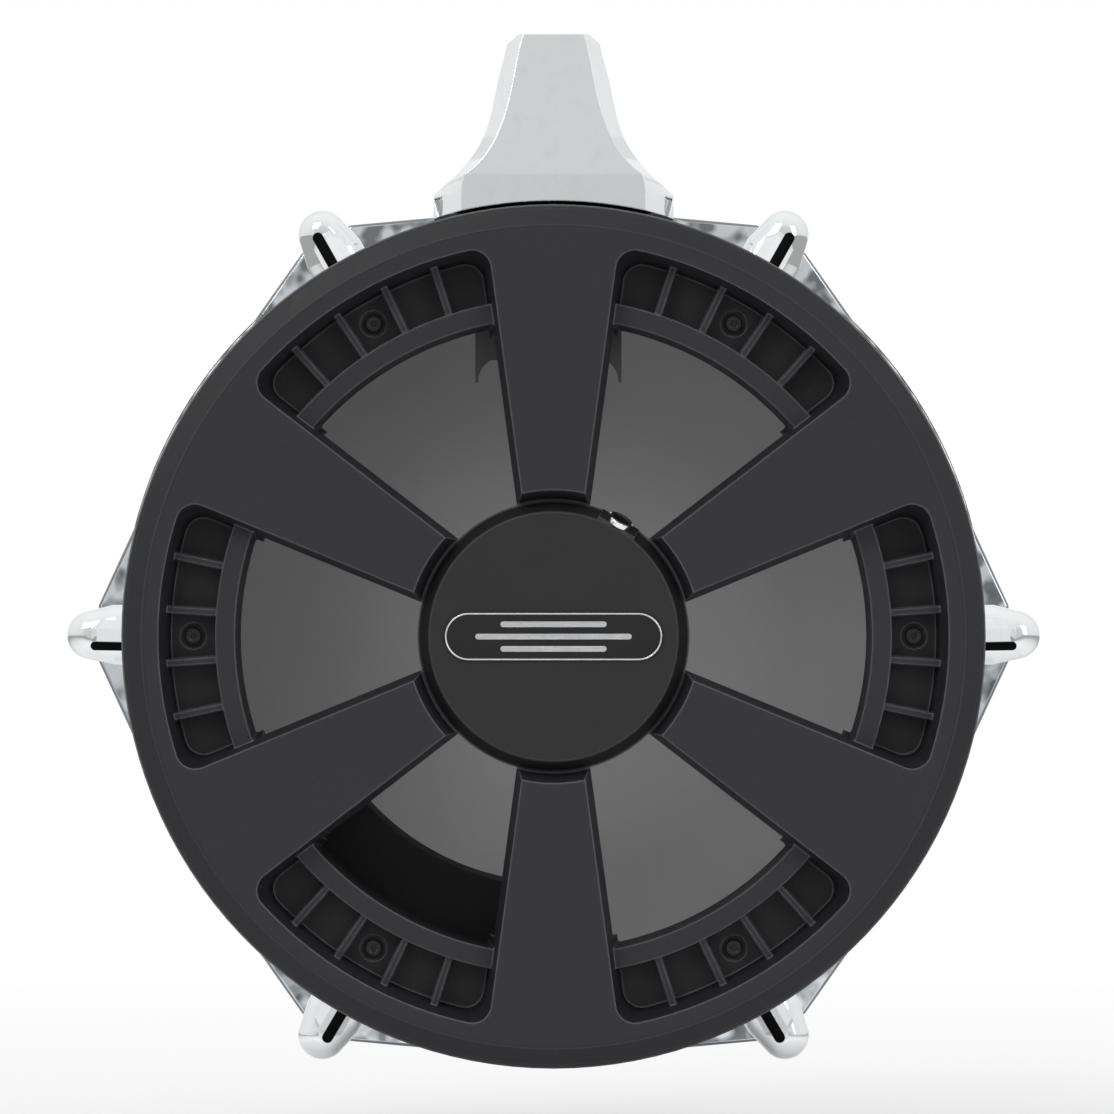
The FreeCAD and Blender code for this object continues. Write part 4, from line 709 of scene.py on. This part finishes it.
def gaskets():
    """Rubber under each lug, in a wide and a narrow piece, and under the bracket."""
    rubber_look = "gasket_rubber"
    for number, deg in enumerate(range(0, 360, LUG_STEP), start=1):
        wide = slab_on_shell(f"lug_gasket_{number}", rubber_look, deg, GASKET_R, LUG_SEAT_R,
                             half_angle=4.35, y0=47.6, y1=103.0, corner=3.0)
        tail = slab_on_shell(f"lug_gasket_tail_{number}", rubber_look, deg, GASKET_R, LUG_SEAT_R,
                             half_angle=2.35, y0=29.6, y1=47.0, corner=2.0)
        for piece in (wide, tail):
            finish_piece(piece, "lug_gaskets")
    sheet = slab_on_shell("bracket_gasket_sheet", rubber_look, TOP_ANGLE, GASKET_R, BRACKET_SEAT_R,
                          half_angle=15.5, y0=32.2, y1=81.8, corner=4.0)
    finish_piece(sheet, "bracket_gasket")


def smooth_path(points, per_span=14):
    """Points on a Catmull-Rom curve."""
    path = []
    pts = [Vector(p) for p in points]
    last = len(pts) - 1
    for i in range(last):
        p0, p1, p2, p3 = pts[max(i - 1, 0)], pts[i], pts[i + 1], pts[min(i + 2, last)]
        for k in range(per_span):
            t = k / per_span
            path.append(0.5 * ((2 * p1) + (p2 - p0) * t + (2 * p0 - 5 * p1 + 4 * p2 - p3) * t * t
                               + (3 * p1 - p0 - 3 * p2 + p3) * t ** 3))
    return path + [pts[-1]]


RELIEF_RINGS = 9  # rings of the path that a strain relief covers


def tube(name, points, radius, look, sides=14):
    """A cable along a smooth path, with a ribbed strain relief at each end."""
    path = smooth_path(points)
    verts, faces = [], []
    up = Vector((0.3, 0.2, 1.0))
    last = len(path) - 1
    for i, point in enumerate(path):
        along = (path[min(i + 1, last)] - path[max(i - 1, 0)]).normalized()
        side = along.cross(up).normalized()
        up = side.cross(along).normalized()
        from_end = min(i, last - i)
        ribbed = from_end < RELIEF_RINGS and from_end % 3 < 2
        grown = radius * (1.12 if ribbed else 0.95)
        for k in range(sides):
            turn = 2 * math.pi * k / sides
            verts.append(tuple(point + (side * math.cos(turn) + up * math.sin(turn)) * grown))
    for i in range(last):
        for k in range(sides):
            m = (k + 1) % sides
            faces.append((i * sides + k, i * sides + m, (i + 1) * sides + m, (i + 1) * sides + k))
    faces.append(tuple(range(sides)))
    faces.append(tuple(last * sides + k for k in range(sides)))
    return new_mesh(name, verts, faces, look)


def cables():
    """The leads from both sensors to the board in the hub."""
    down_tower = [(3, 99.7, 0), (3, 94, 0), (6, 78, 4), (4, 58, -3), (1, 46, 0), (1, 36.8, 0)]
    centre = tube("centre_sensor_lead", down_tower, 1.15, "cable_jacket")
    finish_piece(centre, "centre_sensor_cable")
    in_cover = [polar(142.0, RIM_SENSOR_ANGLE, 62), polar(128.0, 232, 60), polar(112.0, 256, 57)]
    along_spoke = [(97.0, 56.0), (88.0, 55.0), (80.0, 36.0), (66.0, 22.5), (52.0, 22.0), (40.0, 22.5),
                   (23.0, 26.5)]
    to_hub = [polar(r, RIM_LEAD_ANGLE, y) for r, y in along_spoke]
    rim = tube("rim_sensor_lead", in_cover + to_hub, 1.4, "cable_jacket")
    finish_piece(rim, "rim_sensor_cable")


def sensor_tape():
    """The foam pad between the rim sensor and the shell."""
    pad = slab_on_shell("rim_sensor_foam", "foam", RIM_SENSOR_ANGLE, SHELL_R_IN - 2.0, SHELL_R_IN - 0.1,
                        half_angle=3.1, y0=54.2, y1=69.8, corner=1.5)
    finish_piece(pad, "rim_sensor_tape")


drum_head()
rim_cover()
foam_tower()
plate_cushion()
gaskets()
cables()
sensor_tape()

# ---------------------------------------------------------------- badge border


def stadium_ring(name, half_length, half_height, width, y0, y1, look):
    """A thin raised border with round ends."""
    def loop(inset, y):
        flat = half_length - half_height
        r = half_height - inset
        right = arc(flat, 0.0, r, -90, 90, 16)
        left = arc(-flat, 0.0, r, 90, 270, 16)
        return [(x, y, z) for x, z in right + left]

    section = [(0.0, y1), (0.0, y0 + 0.1), (0.12, y0), (width - 0.12, y0), (width, y0 + 0.1), (width, y1)]
    loops = [loop(inset, y) for inset, y in section]
    total = len(loops[0])
    verts = [p for ring in loops for p in ring]
    faces = []
    for i in range(len(loops)):
        k = (i + 1) % len(loops)
        for a in range(total):
            b = (a + 1) % total
            faces.append((i * total + a, i * total + b, k * total + b, k * total + a))
    obj = new_mesh(name, verts, faces, look)
    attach(obj, "pad")


stadium_ring("badge_border", BADGE_HALF_LENGTH, BADGE_HALF_HEIGHT, width=0.55, y0=0.2, y1=0.45,
             look="badge_silver")

# ---------------------------------------------------------------- studio, places in metres

WHITE = (1.0, 1.0, 1.0, 1.0)
AROUND = [(0.0, 0.68), (0.003, 0.68), (0.006, 0.72), (0.045, 0.7), (0.06, 0.84), (0.4, 0.9), (0.8, 0.9),
          (0.81, 0.8), (0.86, 0.8), (0.87, 0.95), (1.0, 0.95)]  # grey of the room, from behind to in front
CAMERA_PLACE = (0.00125, -2.5, 0.0285)
CAMERA_LENS = 225.7


def floor():
    """A pale floor that fades into the white surround."""
    place = (0, 0, FLOOR_Z * MM)
    bpy.ops.mesh.primitive_circle_add(vertices=96, radius=6.0, fill_type="NGON", location=place)
    obj = bpy.context.object
    obj.name = "floor"
    look = Look("floor")
    x, y, _ = look.place()
    tone = look.mix(look.noise(3.0, 3.0), (0.9, 0.9, 0.9), (0.94, 0.94, 0.94))
    matt = look.add("BsdfDiffuse", {"Color": tone}).outputs[0]
    strength = look.ramp(look.add("LightPath").outputs["Is Camera Ray"], 0.0, 1.0, 0.4, 1.0)
    glow = look.add("Emission", {"Color": WHITE, "Strength": strength}).outputs[0]
    far = look.ramp(look.hypotenuse(x, y), 300.0, 1300.0)
    obj.data.materials.append(look.done(look.mixed(far, matt, glow)))


def surround():
    """White for the camera; for reflections and light, a grey room that is darkest round the camera."""
    world = bpy.data.worlds.new("studio")
    bpy.context.scene.world = world
    sky = Graph(world)
    _, y, z = sky.add("SeparateXYZ", {0: sky.add("TexCoord").outputs["Generated"]}).outputs
    greys = sky.add("ValToRGB", {0: sky.ramp(y, -1.0, 1.0)})
    stops = greys.color_ramp.elements
    stops[0].position = AROUND[0][0]
    stops[1].position = AROUND[-1][0]
    for position, _ in AROUND[1:-1]:
        stops.new(position)
    for stop, (_, grey) in zip(stops, AROUND):
        stop.color = (grey, grey, grey * 1.01, 1.0)
    brightness = sky.ramp(z, -1.0, 1.0, 0.75, 1.08)
    room = sky.add("Background", {"Color": greys.outputs[0], "Strength": brightness}).outputs[0]
    white = sky.add("Background", {"Color": WHITE, "Strength": 1.0}).outputs[0]
    seen = sky.add("LightPath").outputs["Is Camera Ray"]
    sky.add("OutputWorld", {"Surface": sky.mixed(seen, room, white)})


def softbox(name, place, size, power, target=(0, 0.03, 0)):
    """A rectangular lamp in watts, turned towards the drum."""
    data = bpy.data.lights.new(name, "AREA")
    data.shape = "RECTANGLE"
    data.size, data.size_y = size
    data.energy = power
    obj = bpy.data.objects.new(name, data)
    bpy.context.scene.collection.objects.link(obj)
    obj.location = place
    towards = Vector(target) - Vector(place)
    obj.rotation_euler = towards.to_track_quat("-Z", "Y").to_euler()


def camera():
    """Behind the frame, near the drum's axis, looking level."""
    data = bpy.data.cameras.new("camera")
    data.sensor_width = 36.0
    data.lens = CAMERA_LENS
    data.clip_end = 50.0
    obj = bpy.data.objects.new("camera", data)
    obj.location = CAMERA_PLACE
    obj.rotation_euler = (math.radians(90), 0, 0)
    bpy.context.scene.collection.objects.link(obj)
    bpy.context.scene.camera = obj


floor()
surround()
softbox("key", (-0.9, -1.6, 1.3), (0.9, 0.9), 13.0)
softbox("fill", (1.1, -1.5, 0.6), (0.7, 1.1), 5.0)
camera()
bpy.context.scene.view_settings.view_transform = "Standard"
